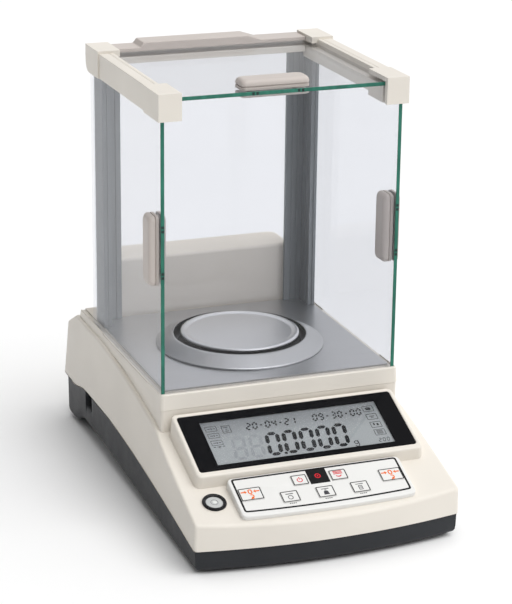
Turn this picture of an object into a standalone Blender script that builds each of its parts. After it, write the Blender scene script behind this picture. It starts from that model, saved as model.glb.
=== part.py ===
"""Electronic analytical balance: a sloped control panel and a glass draft shield with three sliding doors.

Lengths are millimetres. Across is x, the user stands at -y, and the desk is z = 0.
"""

import math

import bmesh
import bpy
from mathutils import Matrix, Vector

MM = 0.001
GAP = 0.3

# Driving dimensions of the whole balance.
HOUSING_WIDTH = 214.0
HOUSING_DEPTH = 365.0
NOSE_BULGE = 11.0
CORNER_RADIUS = 7.0
SHELL = 2.6
PLATEAU_TOP = 104.0
PLATEAU_WIDTH = 197.0
PLATEAU_DEPTH = 219.0
TRAY_FLOOR = 3.0
GLASS = 3.0
PAN_RADIUS = 48.4

# Depths along y, measured from the front edge of the plateau.
PLATEAU_FRONT = -HOUSING_DEPTH / 2 + 102.0 + NOSE_BULGE
FRONT = -102.0
REAR = HOUSING_DEPTH - 102.0 - NOSE_BULGE
TRAY_REAR = REAR - 6.0
PANEL_FOOT = -63.0
PAN_CENTRE = 93.3

# The sloped panel, and the steeper plane that the display and the keys share.
# Each is a slope, and a height below the plateau at the plateau's front edge.
PANEL_DROP = 30.3
PANEL_SLOPE = 0.325
DISPLAY_DROP = 18.1
DISPLAY_SLOPE = 0.41
DISPLAY_TILT = math.atan(DISPLAY_SLOPE)

# Glass draft shield.
GLASS_FRONT = 3.2
PANE_HALF = 93.9
DOOR_INNER = PANE_HALF + GAP
DOOR_OUTER = DOOR_INNER + GLASS
RAIL_OUTER = 99.5
RAIL_WALL = 87.5
RAIL_INNER = 82.0
RAIL_BOTTOM = 214.5
LEDGE_BOTTOM = 222.0
LEDGE_TOP = 227.6
ROOF_BOTTOM = LEDGE_TOP + GAP
ROOF_TOP = ROOF_BOTTOM + GLASS
ROOF_HALF = 86.8
BLOCK_REAR = 34.5
CAP_FRONT = 150.3
FRAME_REAR = 184.0
COLUMN_FRONT = 162.0
TRACK_DEPTH = 1.2

PARTS = "analytical_balance"
CUTTERS = "cutters"

COLOURS = {
    "housing_cream": ((0.86, 0.83, 0.78), 0.45, 0.0),
    "handle_cream": ((0.78, 0.72, 0.68), 0.45, 0.0),
    "tray_black": ((0.03, 0.035, 0.04), 0.5, 0.0),
    "window_black": ((0.01, 0.01, 0.012), 0.1, 0.0),
    "lcd_grey": ((0.45, 0.48, 0.5), 0.2, 0.0),
    "keypad_white": ((0.88, 0.88, 0.88), 0.4, 0.0),
    "glass_clear": ((0.8, 0.92, 0.9), 0.02, 0.0),
    "aluminium_grey": ((0.3, 0.34, 0.36), 0.4, 0.8),
    "stainless": ((0.6, 0.61, 0.63), 0.25, 1.0),
    "steel": ((0.5, 0.5, 0.5), 0.35, 1.0),
    "rubber_black": ((0.02, 0.02, 0.02), 0.8, 0.0),
    "board_green": ((0.02, 0.12, 0.05), 0.5, 0.0),
    "level_glass": ((0.55, 0.58, 0.5), 0.1, 0.0),
}


# ---------------------------------------------------------------- helpers


def clear_scene():
    for obj in list(bpy.data.objects):
        bpy.data.objects.remove(obj)


def collection(name):
    if name in bpy.data.collections:
        return bpy.data.collections[name]
    made = bpy.data.collections.new(name)
    bpy.context.scene.collection.children.link(made)
    return made


def material(name):
    if name in bpy.data.materials:
        return bpy.data.materials[name]
    made = bpy.data.materials.new(name)
    made.use_nodes = True
    colour, roughness, metallic = COLOURS[name]
    shader = made.node_tree.nodes["Principled BSDF"]
    shader.inputs["Base Color"].default_value = (*colour, 1.0)
    shader.inputs["Roughness"].default_value = roughness
    shader.inputs["Metallic"].default_value = metallic
    return made


def add_object(name, mesh, look, parent=None):
    """Link a mesh as a visible part, or as a cutter when it has no look."""
    obj = bpy.data.objects.new(name, mesh)
    obj.parent = parent
    if look:
        mesh.materials.append(material(look))
        collection(PARTS).objects.link(obj)
        return obj
    collection(CUTTERS).objects.link(obj)
    obj.hide_render = True
    obj.display_type = "WIRE"
    return obj


def box_mesh(name, size):
    shape = bmesh.new()
    bmesh.ops.create_cube(shape, size=1.0)
    bmesh.ops.scale(shape, verts=shape.verts, vec=[MM * length for length in size])
    mesh = bpy.data.meshes.new(name)
    shape.to_mesh(mesh)
    shape.free()
    return mesh


def box(name, x, y, z, look=None, parent=None, edge=0.0):
    """A block between (low, high) pairs; y is measured from the plateau's front, z from the desk."""
    spans = (x, y, z)
    obj = add_object(name, box_mesh(name, [high - low for low, high in spans]), look, parent)
    centre = [(low + high) / 2 for low, high in spans]
    if parent is None:
        centre[1] += PLATEAU_FRONT
    obj.location = [MM * value for value in centre]
    if edge:
        round_edges(obj, edge)
    return obj


def round_edges(obj, width, segments=2):
    bevel = obj.modifiers.new("rounded_edges", "BEVEL")
    bevel.width = width * MM
    bevel.segments = segments
    bevel.limit_method = "ANGLE"
    bevel.angle_limit = math.radians(40)


def boolean(obj, other, operation="DIFFERENCE"):
    modifier = obj.modifiers.new(other.name, "BOOLEAN")
    modifier.operation = operation
    modifier.solver = "EXACT"
    modifier.object = other


def smooth(obj, angle=35):
    mesh = obj.data
    mesh.shade_smooth()
    mesh.set_sharp_from_angle(angle=math.radians(angle))


def flat_outline(name, outline, thickness, look=None, parent=None, holes=()):
    """A closed outline in its own x-y plane, filled and thickened evenly to both sides."""
    curve = bpy.data.curves.new(name + "_outline", "CURVE")
    curve.dimensions = "2D"
    curve.fill_mode = "BOTH"
    curve.extrude = thickness / 2 * MM
    for loop in (outline, *holes):
        spline = curve.splines.new("POLY")
        spline.points.add(len(loop) - 1)
        spline.use_cyclic_u = True
        for point, (x, y) in zip(spline.points, loop):
            point.co = (x * MM, y * MM, 0.0, 1.0)
    drawn = bpy.data.objects.new(name + "_outline", curve)
    bpy.context.scene.collection.objects.link(drawn)
    graph = bpy.context.evaluated_depsgraph_get()
    mesh = bpy.data.meshes.new_from_object(drawn.evaluated_get(graph))
    bpy.data.objects.remove(drawn)
    bpy.data.curves.remove(curve)
    shape = bmesh.new()
    shape.from_mesh(mesh)
    bmesh.ops.remove_doubles(shape, verts=shape.verts, dist=1e-6)
    bmesh.ops.recalc_face_normals(shape, faces=shape.faces)
    shape.to_mesh(mesh)
    shape.free()
    mesh.name = name
    mesh.materials.clear()
    return add_object(name, mesh, look, parent)


def upright(name, outline, z, look=None, holes=()):
    """An outline in plan, standing between two heights."""
    obj = flat_outline(name, outline, z[1] - z[0], look, holes=holes)
    obj.location = (0.0, PLATEAU_FRONT * MM, (z[0] + z[1]) / 2 * MM)
    return obj


def along_depth(name, outline, y, look=None):
    """An outline of (x, z) points, drawn out between two depths."""
    obj = flat_outline(name, outline, y[1] - y[0], look)
    obj.rotation_euler = (math.pi / 2, 0.0, 0.0)
    obj.location = (0.0, (PLATEAU_FRONT + (y[0] + y[1]) / 2) * MM, 0.0)
    return obj


def turned(name, profile, look=None, centre=(0.0, 0.0), parent=None, steps=48):
    """A profile of (radius, height) points turned about its own upright axis."""
    closed = profile[0][0] > 0
    count = len(profile)
    edges = [(i, (i + 1) % count) for i in range(count if closed else count - 1)]
    mesh = bpy.data.meshes.new(name)
    mesh.from_pydata([(r * MM, 0.0, z * MM) for r, z in profile], edges, [])
    obj = add_object(name, mesh, look, parent)
    obj.location = (centre[0] * MM, centre[1] * MM, 0.0)
    screw = obj.modifiers.new("turned", "SCREW")
    screw.axis = "Z"
    screw.angle = math.tau
    screw.steps = steps
    screw.render_steps = steps
    screw.use_merge_vertices = True
    screw.merge_threshold = 1e-5
    screw.use_smooth_shade = True
    return obj


def rounded_rectangle(width, height, radius, centre=(0.0, 0.0), steps=5):
    points = []
    for quarter, (sx, sy) in enumerate(((1, 1), (-1, 1), (-1, -1), (1, -1))):
        corner_x = centre[0] + sx * (width / 2 - radius)
        corner_y = centre[1] + sy * (height / 2 - radius)
        for i in range(steps + 1):
            angle = math.pi / 2 * (quarter + i / steps)
            points.append((corner_x + radius * math.cos(angle), corner_y + radius * math.sin(angle)))
    return points


def mirrored(outline, side):
    """The outline itself on the right (side = 1), or its mirror image on the left (side = -1)."""
    return [(side * x, y) for x, y in outline]


def span(side, low, high):
    """The x span low..high of the right side, carried to the given side."""
    return (low, high) if side > 0 else (-high, -low)


SIDES = (("left", -1), ("right", 1))


# ---------------------------------------------------------------- lofts


def closed_mesh(name, points, faces):
    """A mesh with coincident points merged and every face turned outward."""
    mesh = bpy.data.meshes.new(name)
    mesh.from_pydata([(x * MM, y * MM, z * MM) for x, y, z in points], [], faces)
    shape = bmesh.new()
    shape.from_mesh(mesh)
    bmesh.ops.remove_doubles(shape, verts=shape.verts, dist=1e-5)
    bmesh.ops.recalc_face_normals(shape, faces=shape.faces)
    shape.to_mesh(mesh)
    shape.free()
    return mesh


def skin_between(rings):
    """Faces that join each ring of points to the next one."""
    count = len(rings[0])
    faces = []
    for r in range(len(rings) - 1):
        low, high = r * count, (r + 1) * count
        for i in range(count):
            j = (i + 1) % count
            faces.append((low + i, low + j, high + j, high + i))
    return faces


def ring_loft(name, rings, look=None, parent=None, hollow=False):
    """A closed skin over rings of (x, y, z) points: capped at both ends, or joined end to end when hollow."""
    if hollow:
        rings = rings + [rings[0]]
    faces = skin_between(rings)
    count = len(rings[0])
    last = count * (len(rings) - 1)
    if not hollow:
        faces += [tuple(range(count)), tuple(range(last, last + count))]
    points = [point for ring in rings for point in ring]
    return add_object(name, closed_mesh(name, points, faces), look, parent)


# ---------------------------------------------------------------- the housing's form
# Heights here are measured from the plateau's top, so most of them are negative.


def smoothstep(t):
    t = min(1.0, max(0.0, t))
    return t * t * (3.0 - 2.0 * t)


def panel_height(y):
    return -PANEL_DROP + PANEL_SLOPE * y


def crease_height(y):
    """Height of the shoulder's outer edge: it follows the panel, then eases out to level toward the rear."""
    ease_start, ease_end, level = 15.0, 155.0, -6.4
    if y <= ease_start:
        return panel_height(y)
    left = max(0.0, (ease_end - y) / (ease_end - ease_start))
    return level - (level - panel_height(ease_start)) * left**1.4


def seam_height(y):
    """Height of the joint between the cream housing and the black tray."""
    forward = max(0.0, (107.0 - y) / 209.0)
    return -60.0 - 24.5 * forward**1.4 - 6.0 * smoothstep((y - 182.0) / 36.0)


def bottom_height(y):
    """The tray's underside rises from the front, and drops again to a block at the rear."""
    rise = min(1.0, max(0.0, (y + 85.0) / 235.0)) ** 1.3
    return -101.5 + 10.5 * (rise - smoothstep((y - 190.0) / 38.0))


def rear_corner(y):
    """How far the sides come in at a depth, to round the two rear corners."""
    into = max(0.0, y - (REAR - CORNER_RADIUS))
    return CORNER_RADIUS - math.sqrt(CORNER_RADIUS**2 - into**2)


def half_width(y):
    taper = 1.0 * (y - FRONT) / (REAR - FRONT)
    return HOUSING_WIDTH / 2 - taper - rear_corner(y)


def crease_half(y):
    """The sides lean inward, and more so toward the rear, so the shoulder narrows from front to rear."""
    forward = min(1.0, max(0.0, -y / 101.0))
    return 102.0 + 4.6 * forward**0.6 - rear_corner(y)


def band_height(y):
    """Height of the upright band under the plateau's lip."""
    return 12.2 - 6.6 * y / PLATEAU_DEPTH


def bulged(x, y):
    """Depth of a point after the front's gentle bulge, which fades out toward the display."""
    fade = max(0.0, (PANEL_FOOT - y) / (PANEL_FOOT - FRONT))
    return y - NOSE_BULGE * fade * (1.0 - (x / half_width(y)) ** 2)


PANEL_STATIONS = (-102, -90, -76, -63, -48, -34, -22, -12, -5, -1)
PLATEAU_STATIONS = (0, 15, 30, 60, 90, 120, 145, 170, 182, 195, 207, 219)
REAR_STATIONS = (226, 236, 245, 247, 249, 250.5, 251.6, 252)
STATIONS = PANEL_STATIONS + PLATEAU_STATIONS + REAR_STATIONS
LIP_HALF = PLATEAU_WIDTH / 2
INNER_COLUMNS = (60.0, 30.0, 0.0)


def whole_row(y, half):
    """One row across the housing, from (x, z) points of its right half, the outer ones first."""
    half = half + [(x, half[-1][1]) for x in INNER_COLUMNS]
    row = half + [(-x, z) for x, z in reversed(half[:-1])]
    return [(x, bulged(x, y), z) for x, z in row]


def panel_row(y):
    """A row over the sloped panel: its points lie in the panel's plane wherever the bulge takes them."""
    edge = crease_half(y)
    half = [(half_width(y), seam_height(y)), (edge, -1.2), (edge - 1.5, 0.0)]
    half += [(LIP_HALF + 1.4, 0.0), (LIP_HALF + 0.8, 0.0), (LIP_HALF, 0.0)]
    row = whole_row(y, half)
    inner = [(x, at, panel_height(at) + z) for x, at, z in row[1:-1]]
    return row[:1] + inner + row[-1:]


def plateau_row(y):
    edge, crease, band = crease_half(y), crease_height(y), -band_height(y)
    foot = min(crease + 0.8, band - 0.15)
    half = [(half_width(y), seam_height(y)), (edge, crease - 1.2), (edge - 1.5, crease)]
    return whole_row(y, half + [(LIP_HALF + 0.9, foot), (LIP_HALF + 0.8, band), (LIP_HALF, 0.0)])


def rear_row(y, level):
    """A row behind the plateau, where the top slopes down to the rear edge."""
    half = [(half_width(y), seam_height(y)), (crease_half(y), level - 1.2), (crease_half(y) - 1.5, level)]
    inset = rear_corner(y)
    return whole_row(y, half + [(x - inset, level) for x in (LIP_HALF + 0.9, LIP_HALF + 0.8, LIP_HALF)])


def rear_level(y):
    return -6.4 - 0.5 * max(0.0, y - 222.0)


def housing_rows():
    rows = [panel_row(y) for y in PANEL_STATIONS]
    foot = [(x, y, seam_height(FRONT)) for x, y, z in rows[0]]
    rows += [plateau_row(y) for y in PLATEAU_STATIONS]
    rows += [rear_row(220.0, rear_level(220.0))]
    rows += [rear_row(y, rear_level(y)) for y in REAR_STATIONS[:-1]]
    rows += [rear_row(REAR, rear_level(REAR) - 1.5)]
    heel = [(x, y, seam_height(REAR)) for x, y, z in rows[-1]]
    ledge = [(x, TRAY_REAR - 3.0, z) for x, y, z in heel]
    return [foot] + rows + [heel, ledge]


def upper_housing():
    rows = housing_rows()
    width = len(rows[0])
    points = [point for row in rows for point in row]
    faces = []
    for r in range(len(rows) - 1):
        for first in range(r * width, r * width + width - 1):
            faces.append((first, first + 1, first + width + 1, first + width))
    obj = add_object("upper_housing", closed_mesh("upper_housing", points, faces), "housing_cream")
    obj.location = (0.0, PLATEAU_FRONT * MM, PLATEAU_TOP * MM)
    wall = obj.modifiers.new("wall", "SOLIDIFY")
    wall.thickness = SHELL * MM
    wall.offset = -1.0
    wall.use_even_offset = True
    cut_plateau(obj)
    return obj


def cut_plateau(housing):
    """Tracks for the doors and the front pane, and the open lip beside each door."""
    bottom, above = PLATEAU_TOP - TRACK_DEPTH, PLATEAU_TOP + 5.0
    for name, side in SIDES:
        across = span(side, DOOR_INNER - 0.4, DOOR_OUTER + 0.4)
        boolean(housing, box(name + "_door_track", across, (GLASS_FRONT - GAP, 230.0), (bottom, above)))
        across = span(side, DOOR_OUTER, LIP_HALF + 3.0)
        boolean(housing, box(name + "_lip_opening", across, (32.0, 153.0), (bottom, above)))
    depth = (GLASS_FRONT - GAP, GLASS_FRONT + GLASS + GAP)
    boolean(housing, box("front_pane_track", (-PANE_HALF - 1.0, PANE_HALF + 1.0), depth, (bottom, above)))


FRONT_STEPS = 16


def tray_ring(inset, height_at):
    """The tray's outline in plan, set in from the housing's, with each point's height from its depth."""
    right = []
    for y in STATIONS:
        depth = max(FRONT + inset, y)
        into_corner = (y - (REAR - CORNER_RADIUS)) / CORNER_RADIUS
        if into_corner >= 0.0:
            depth += TRAY_REAR - REAR - inset * into_corner
        right.append((half_width(y) - inset, depth))
    front = []
    for i in range(1, FRONT_STEPS):
        x = (2 * i / FRONT_STEPS - 1) * right[0][0]
        front.append((x, bulged(x, FRONT) + inset))
    ring = front + right + [(-x, y) for x, y in reversed(right)]
    return [(x, y, height_at(max(FRONT, y))) for x, y in ring]


def tray_floor(first):
    """Faces across one ring of the tray: a fan over the bulged front, then strips from depth to depth."""
    right, left = first + FRONT_STEPS - 1, first + FRONT_STEPS - 1 + 2 * len(STATIONS) - 1
    faces = [tuple(range(first, right + 1)) + (left,)]
    for i in range(len(STATIONS) - 1):
        faces.append((right + i, right + i + 1, left - i - 1, left - i))
    return faces


def base_tray():
    """The black tray: rings up the outside, over the rim, down the inside, and a floor."""
    rim_gap = 0.4
    rings = [
        tray_ring(6.0, bottom_height),
        tray_ring(2.6, lambda y: bottom_height(y) + 1.6),
        tray_ring(1.4, lambda y: bottom_height(y) + 5.0),
        tray_ring(1.0, lambda y: seam_height(y) - rim_gap),
        tray_ring(3.8, lambda y: seam_height(y) - rim_gap),
        tray_ring(5.2, lambda y: bottom_height(y) + TRAY_FLOOR),
    ]
    inner_ring = (len(rings) - 1) * len(rings[0])
    faces = skin_between(rings) + tray_floor(0) + tray_floor(inner_ring)
    points = [point for ring in rings for point in ring]
    obj = add_object("base_tray", closed_mesh("base_tray", points, faces), "tray_black")
    obj.location = (0.0, PLATEAU_FRONT * MM, PLATEAU_TOP * MM)
    return obj


# ---------------------------------------------------------------- control panel
# The display and the keys are placed in a frame of their own: x across, y up the slope from
# the display's foot, and z off the plane that both share.


BEZEL = (92.0, -3.2, 66.3)
BEZEL_FOOT = (93.3, -4.8, 61.2)
WINDOW = (88.4, 2.2, 62.2)
WINDOW_LEVEL = 2.9
RIM_LEVEL = 3.9
LCD = (72.7, 7.3, 54.1)
KEYPAD = (70.0, -45.5, -5.4)
KEYPAD_LEVEL = 0.8
KEYPAD_BULGE = 2.0
KEY_LEVEL = 1.3
LEVEL_CENTRE = (-84.3, -19.8)
# Each key's centre on the panel, its width and its height up the slope.
KEYS = {
    "tare_key_left": (-56.8, -23.8, 18.0, 12.8),
    "tare_key_right": (56.8, -23.8, 18.0, 12.8),
    "power_key": (-15.2, -16.6, 12.5, 10.6),
    "menu_key": (16.2, -16.6, 13.5, 10.6),
    "units_key": (-28.2, -31.8, 14.0, 11.2),
    "calibrate_key": (0.4, -31.8, 14.0, 11.2),
    "print_key": (28.4, -31.8, 14.0, 11.2),
}


def slope_anchor(name, drop, slope):
    """A frame at the display's foot, on the plane with this drop below the plateau and this slope."""
    anchor = bpy.data.objects.new(name, None)
    collection(PARTS).objects.link(anchor)
    height = PLATEAU_TOP - drop + slope * PANEL_FOOT
    anchor.location = (0.0, (PLATEAU_FRONT + PANEL_FOOT) * MM, height * MM)
    anchor.rotation_euler = (math.atan(slope), 0.0, 0.0)
    return anchor


def panel_under(along):
    """Level of the panel's own surface in the display's frame, a distance up the slope."""
    rise, run = math.sin(DISPLAY_TILT), math.cos(DISPLAY_TILT)
    at_foot = (DISPLAY_DROP - PANEL_DROP) - (DISPLAY_SLOPE - PANEL_SLOPE) * PANEL_FOOT
    return (at_foot - (rise - PANEL_SLOPE * run) * along) / (run + PANEL_SLOPE * rise)


def above_panel(along):
    return panel_under(along) + GAP


def slope_ring(half, low, high, radius, level):
    """A rounded rectangle on the slope; its level is a number, or a function of the distance up the slope."""
    outline = rounded_rectangle(2 * half, high - low, radius, (0.0, (low + high) / 2))
    if not callable(level):
        return [(x, y, level) for x, y in outline]
    return [(x, y, level(y)) for x, y in outline]


def stacked(name, layers, look, parent=None):
    """Rounded rectangles of (width, length, radius) at rising heights, joined into one block."""
    rings = []
    for width, length, radius, height in layers:
        outline = rounded_rectangle(width, length, radius, steps=3)
        rings.append([(x, y, height) for x, y in outline])
    return ring_loft(name, rings, look, parent)


def place(obj, x, y, z=0.0):
    obj.location = (x * MM, y * MM, z * MM)


def panel_plate(name, half, low, high, levels, look, anchor):
    """A flat plate between two levels over the display's plane."""
    outline = rounded_rectangle(2 * half, high - low, 3.0, (0.0, (low + high) / 2))
    obj = flat_outline(name, outline, levels[1] - levels[0], look, anchor)
    place(obj, 0.0, 0.0, (levels[0] + levels[1]) / 2)
    return obj


def display_parts(housing, anchor):
    """A wedge-shaped frame that stands on the panel, with the window, the display and its board in it."""
    half, low, high = BEZEL
    shoulder, seat, pocket = 0.8, 0.4, 1.0
    seat_ring = (WINDOW[0] + seat, WINDOW[1] - seat, WINDOW[2] + seat, 3.4)
    pocket_ring = (LCD[0] + pocket, LCD[1] - pocket, LCD[2] + pocket, 2.0)
    rings = [
        slope_ring(*BEZEL_FOOT, 5.0, above_panel),
        slope_ring(half, low, high, 4.5, RIM_LEVEL - shoulder),
        slope_ring(half - shoulder, low + shoulder, high - shoulder, 4.0, RIM_LEVEL),
        slope_ring(*seat_ring, RIM_LEVEL),
        slope_ring(*seat_ring, WINDOW_LEVEL - GAP),
        slope_ring(*pocket_ring, WINDOW_LEVEL - GAP),
        slope_ring(*pocket_ring, above_panel),
    ]
    ring_loft("display_bezel", rings, "housing_cream", anchor, hollow=True)
    panel_plate("display_window", *WINDOW, (WINDOW_LEVEL, RIM_LEVEL), "window_black", anchor)
    panel_plate("lcd_panel", *LCD, (-1.4, WINDOW_LEVEL - GAP), "lcd_grey", anchor)
    panel_plate("display_board", *LCD, (-3.4, -1.8), "board_green", anchor)
    boolean(housing, box("display_cable_opening", (-30, 30), (20, 40), (-16, 0), parent=anchor))


def keypad_outline(inset):
    """The key plate's outline: a rounded rectangle whose lower edge bulges toward the user."""
    half, low, high = KEYPAD[0] - inset, KEYPAD[1] + inset, KEYPAD[2] - inset
    outline = rounded_rectangle(2 * half, high - low, 4.0, (0.0, (low + high) / 2))
    middle = [(x, low - KEYPAD_BULGE * (1.0 - (x / half) ** 2)) for x in range(-50, 51, 20)]
    lower_left = 3 * len(outline) // 4
    return outline[:lower_left] + middle + outline[lower_left:]


def keypad_parts(housing, anchor):
    edge = 0.6
    rings = [
        [(x, y, above_panel(y)) for x, y in keypad_outline(0.0)],
        [(x, y, KEYPAD_LEVEL - edge) for x, y in keypad_outline(0.0)],
        [(x, y, KEYPAD_LEVEL) for x, y in keypad_outline(edge)],
    ]
    plate = ring_loft("keypad_panel", rings, "keypad_white", anchor)
    boolean(housing, box("key_opening", (-67.8, 67.8), (-42.0, -8.6), (-16.0, 4.0), parent=anchor))
    for name, (x, y, width, height) in KEYS.items():
        key(name, width, height, panel_under(y + height / 2) - 2 * GAP, x, y, anchor)
        levels = [(width + 0.8, height + 0.8, 2.4, z) for z in (-16.0, 4.0)]
        hole = stacked(name + "_hole", levels, None, anchor)
        place(hole, x, y)
        boolean(plate, hole)


def key(name, width, height, flange_top, x, y, anchor):
    """A key with a flange below the plate, which keeps it from lifting out."""
    layers = [
        (width + 1.6, height + 1.6, 2.4, flange_top - 1.3),
        (width + 1.6, height + 1.6, 2.4, flange_top),
        (width, height, 2.0, flange_top),
        (width, height, 2.0, KEY_LEVEL - 0.3),
        (width - 0.8, height - 0.8, 1.6, KEY_LEVEL),
    ]
    place(stacked(name, layers, "keypad_white", anchor), x, y)


def level_parts(housing, anchor):
    ring = [(6.9, 1.6), (7.4, 2.2), (8.9, 2.2), (9.3, 1.8), (9.3, GAP), (8.2, GAP), (8.2, -5.0), (6.9, -5.0)]
    turned("level_ring", ring, "tray_black", LEVEL_CENTRE, anchor, steps=32)
    vial = [(0, 1.2), (6.3, 1.2), (6.6, 0.9), (6.6, -4.5), (0, -4.5)]
    turned("level_vial", vial, "level_glass", LEVEL_CENTRE, anchor, steps=32)
    hole = [(0, 6), (8.6, 6), (8.6, -9), (0, -9)]
    boolean(housing, turned("level_hole", hole, None, LEVEL_CENTRE, anchor, steps=32))


def panel_parts(housing):
    display_plane = slope_anchor("display_plane", DISPLAY_DROP, DISPLAY_SLOPE)
    display_parts(housing, display_plane)
    keypad_parts(housing, display_plane)
    level_parts(housing, slope_anchor("panel_plane", PANEL_DROP, PANEL_SLOPE))


# ---------------------------------------------------------------- chamber floor and pan


def at_plateau(profile):
    return [(radius, PLATEAU_TOP + height) for radius, height in profile]


PAN_AXIS = (0.0, PLATEAU_FRONT + PAN_CENTRE)
PLATE_HALF = 93.4
RIB_INNER = 87.5
LEG_INNER = 73.0
LEG_FRONT = 180.5


def chamber_floor():
    """The steel plate, notched round both columns."""
    right = [(PLATE_HALF, 7.0), (PLATE_HALF, COLUMN_FRONT - GAP), (RIB_INNER - GAP, COLUMN_FRONT - GAP)]
    right += [(RIB_INNER - GAP, LEG_FRONT - GAP), (LEG_INNER - GAP, LEG_FRONT - GAP)]
    right.append((LEG_INNER - GAP, FRAME_REAR))
    outline = right + mirrored(right[::-1], -1)
    steps, hole_radius = 32, 14.0
    angles = [math.tau * i / steps for i in range(steps)]
    hole = [(hole_radius * math.cos(a), PAN_CENTRE + hole_radius * math.sin(a)) for a in angles]
    upright("floor_plate", outline, (PLATEAU_TOP + GAP, PLATEAU_TOP + 1.3), "stainless", [hole])


def weighing_parts(housing):
    ring = [(54.2, 9.6), (56, 9.0), (68.3, 3.2), (68.3, 1.6)]
    ring += [(66.6, 1.6), (55.4, 7.4), (53.3, 7.8), (53.3, 9.2)]
    turned("draft_ring", at_plateau(ring), "stainless", PAN_AXIS, steps=64)
    pan = [(0, 11), (42.6, 11), (44.6, 12), (47, 12.1), (PAN_RADIUS, 11), (PAN_RADIUS, 9.4), (47.2, 9)]
    pan += [(8, 9), (7, 8.6), (7, 4.5), (4.6, 4.5), (4.6, 9.4), (0, 9.4)]
    turned("weighing_pan", at_plateau(pan), "stainless", PAN_AXIS, steps=64)
    hole = turned("pan_hole", [(0, 120), (14, 120), (14, 80), (0, 80)], centre=PAN_AXIS, steps=32)
    hole.rotation_euler.z = math.radians(4.0)
    boolean(housing, hole)
    support = [(0, 9), (3.6, 9), (4.2, 6), (4.2, -24), (9, -24), (9, -30), (0, -30)]
    turned("pan_support", at_plateau(support), "steel", PAN_AXIS, steps=32)


def rear_housing():
    """The tall box behind the chamber: a shell, open below, that steps down behind the plateau."""
    front, rear = FRAME_REAR + GLASS + 0.6, 226.0
    bottom, top = PLATEAU_TOP - 5.2, PLATEAU_TOP + 51.0
    middle = (0.0, (front + rear) / 2)
    outline = rounded_rectangle(162, rear - front, 9, middle)
    obj = upright("rear_housing", outline, (bottom, top), "housing_cream")
    round_edges(obj, 2.5)
    inside = rounded_rectangle(157, rear - front - 5, 6.5, middle)
    boolean(obj, upright("rear_housing_inside", inside, (bottom - 5, top - 2.5)))
    boolean(obj, box("plateau_clearance", (-90, 90), (180, 220.5), (80, PLATEAU_TOP + GAP)))


# ---------------------------------------------------------------- draft shield


def raised(outline):
    return [(x, PLATEAU_TOP + z) for x, z in outline]


def lifted(low, high):
    return (PLATEAU_TOP + low, PLATEAU_TOP + high)


def cut_frame_end(obj, side, start):
    """Room for the roof glass, which slides rearward over the ledge, and for the side door's top edge."""
    across = span(side, 60.0, RAIL_WALL)
    roof = box(obj.name + "_roof_slot", across, (start, 200.0), lifted(LEDGE_TOP, ROOF_TOP + GAP))
    boolean(obj, roof)
    across = span(side, DOOR_INNER - 0.4, DOOR_OUTER + 0.4)
    boolean(obj, box(obj.name + "_door_slot", across, (start, 200.0), lifted(190.0, 217.8)))


def frame_side(name, side):
    """The corner block, the rail and the rear cap along one side."""
    start = GLASS_FRONT - GAP
    across = span(side, RAIL_INNER, RAIL_OUTER + 0.8)
    height = lifted(214.0, 234.8)
    block = box(name + "_corner_block", across, (-1.5, BLOCK_REAR), height, "housing_cream", edge=0.8)
    cut_frame_end(block, side, start)
    slot = span(side, 60.0, DOOR_INNER)
    depth = (start, GLASS_FRONT + GLASS + GAP)
    boolean(block, box(name + "_pane_slot", slot, depth, lifted(200.0, ROOF_BOTTOM)))
    door = (DOOR_INNER - 0.4, DOOR_OUTER + 0.4)
    wall = [(RAIL_INNER, LEDGE_BOTTOM), (RAIL_WALL - GAP, LEDGE_BOTTOM), (RAIL_WALL - GAP, RAIL_BOTTOM)]
    groove = [(door[0], RAIL_BOTTOM), (door[0], 217.8), (door[1], 217.8), (door[1], RAIL_BOTTOM)]
    top = [(RAIL_OUTER, RAIL_BOTTOM), (RAIL_OUTER, 234.4), (RAIL_WALL, 234.4)]
    ledge = [(RAIL_WALL, LEDGE_TOP), (RAIL_INNER, LEDGE_TOP)]
    outline = mirrored(raised(wall + groove + top + ledge), side)
    along_depth(name + "_top_rail", outline, (BLOCK_REAR + GAP, CAP_FRONT - GAP), "housing_cream")
    across = span(side, RAIL_INNER, RAIL_OUTER + 1.2)
    depth, height = (CAP_FRONT, FRAME_REAR), lifted(RAIL_BOTTOM, 236.4)
    cap = box(name + "_rear_cap", across, depth, height, "housing_cream", edge=2.0)
    cut_frame_end(cap, side, 100.0)
    across = span(side, 60.0, RAIL_WALL - GAP)
    room = box(name + "_column_room", across, (140.0, 200.0), lifted(200.0, LEDGE_BOTTOM))
    boolean(cap, room)


def column(name, side):
    """An L section: a rib beside the door, and a leg in front of the rear pane."""
    outer = PANE_HALF - 0.1
    outline = [(RIB_INNER, COLUMN_FRONT), (outer, COLUMN_FRONT), (outer, FRAME_REAR), (LEG_INNER, FRAME_REAR)]
    outline += [(LEG_INNER, LEG_FRONT), (RIB_INNER, LEG_FRONT)]
    obj = upright(name, mirrored(outline, side), lifted(GAP, LEDGE_BOTTOM - GAP), "aluminium_grey")
    under_rail = span(side, RAIL_WALL - 2 * GAP, 100.0)
    boolean(obj, box(name + "_top_cut", under_rail, (150.0, 200.0), lifted(RAIL_BOTTOM - GAP, 240.0)))


def rear_rails():
    """Two bars across the back; the roof glass slides out between them."""
    half = RAIL_INNER - GAP
    depth = (163.5, FRAME_REAR)
    box("rear_crossbar", (-half, half), depth, lifted(LEDGE_BOTTOM, LEDGE_TOP - GAP), "housing_cream")
    low, high, crown = ROOF_TOP + 0.5, 234.6, 238.4
    hump = [(43.0, high), (31.0, crown), (-58.0, crown), (-61.0, high)]
    outline = [(-half, low), (half, low), (half, high)] + hump + [(-half, high)]
    along_depth("rear_cover_strip", raised(outline), depth, "housing_cream")


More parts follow.
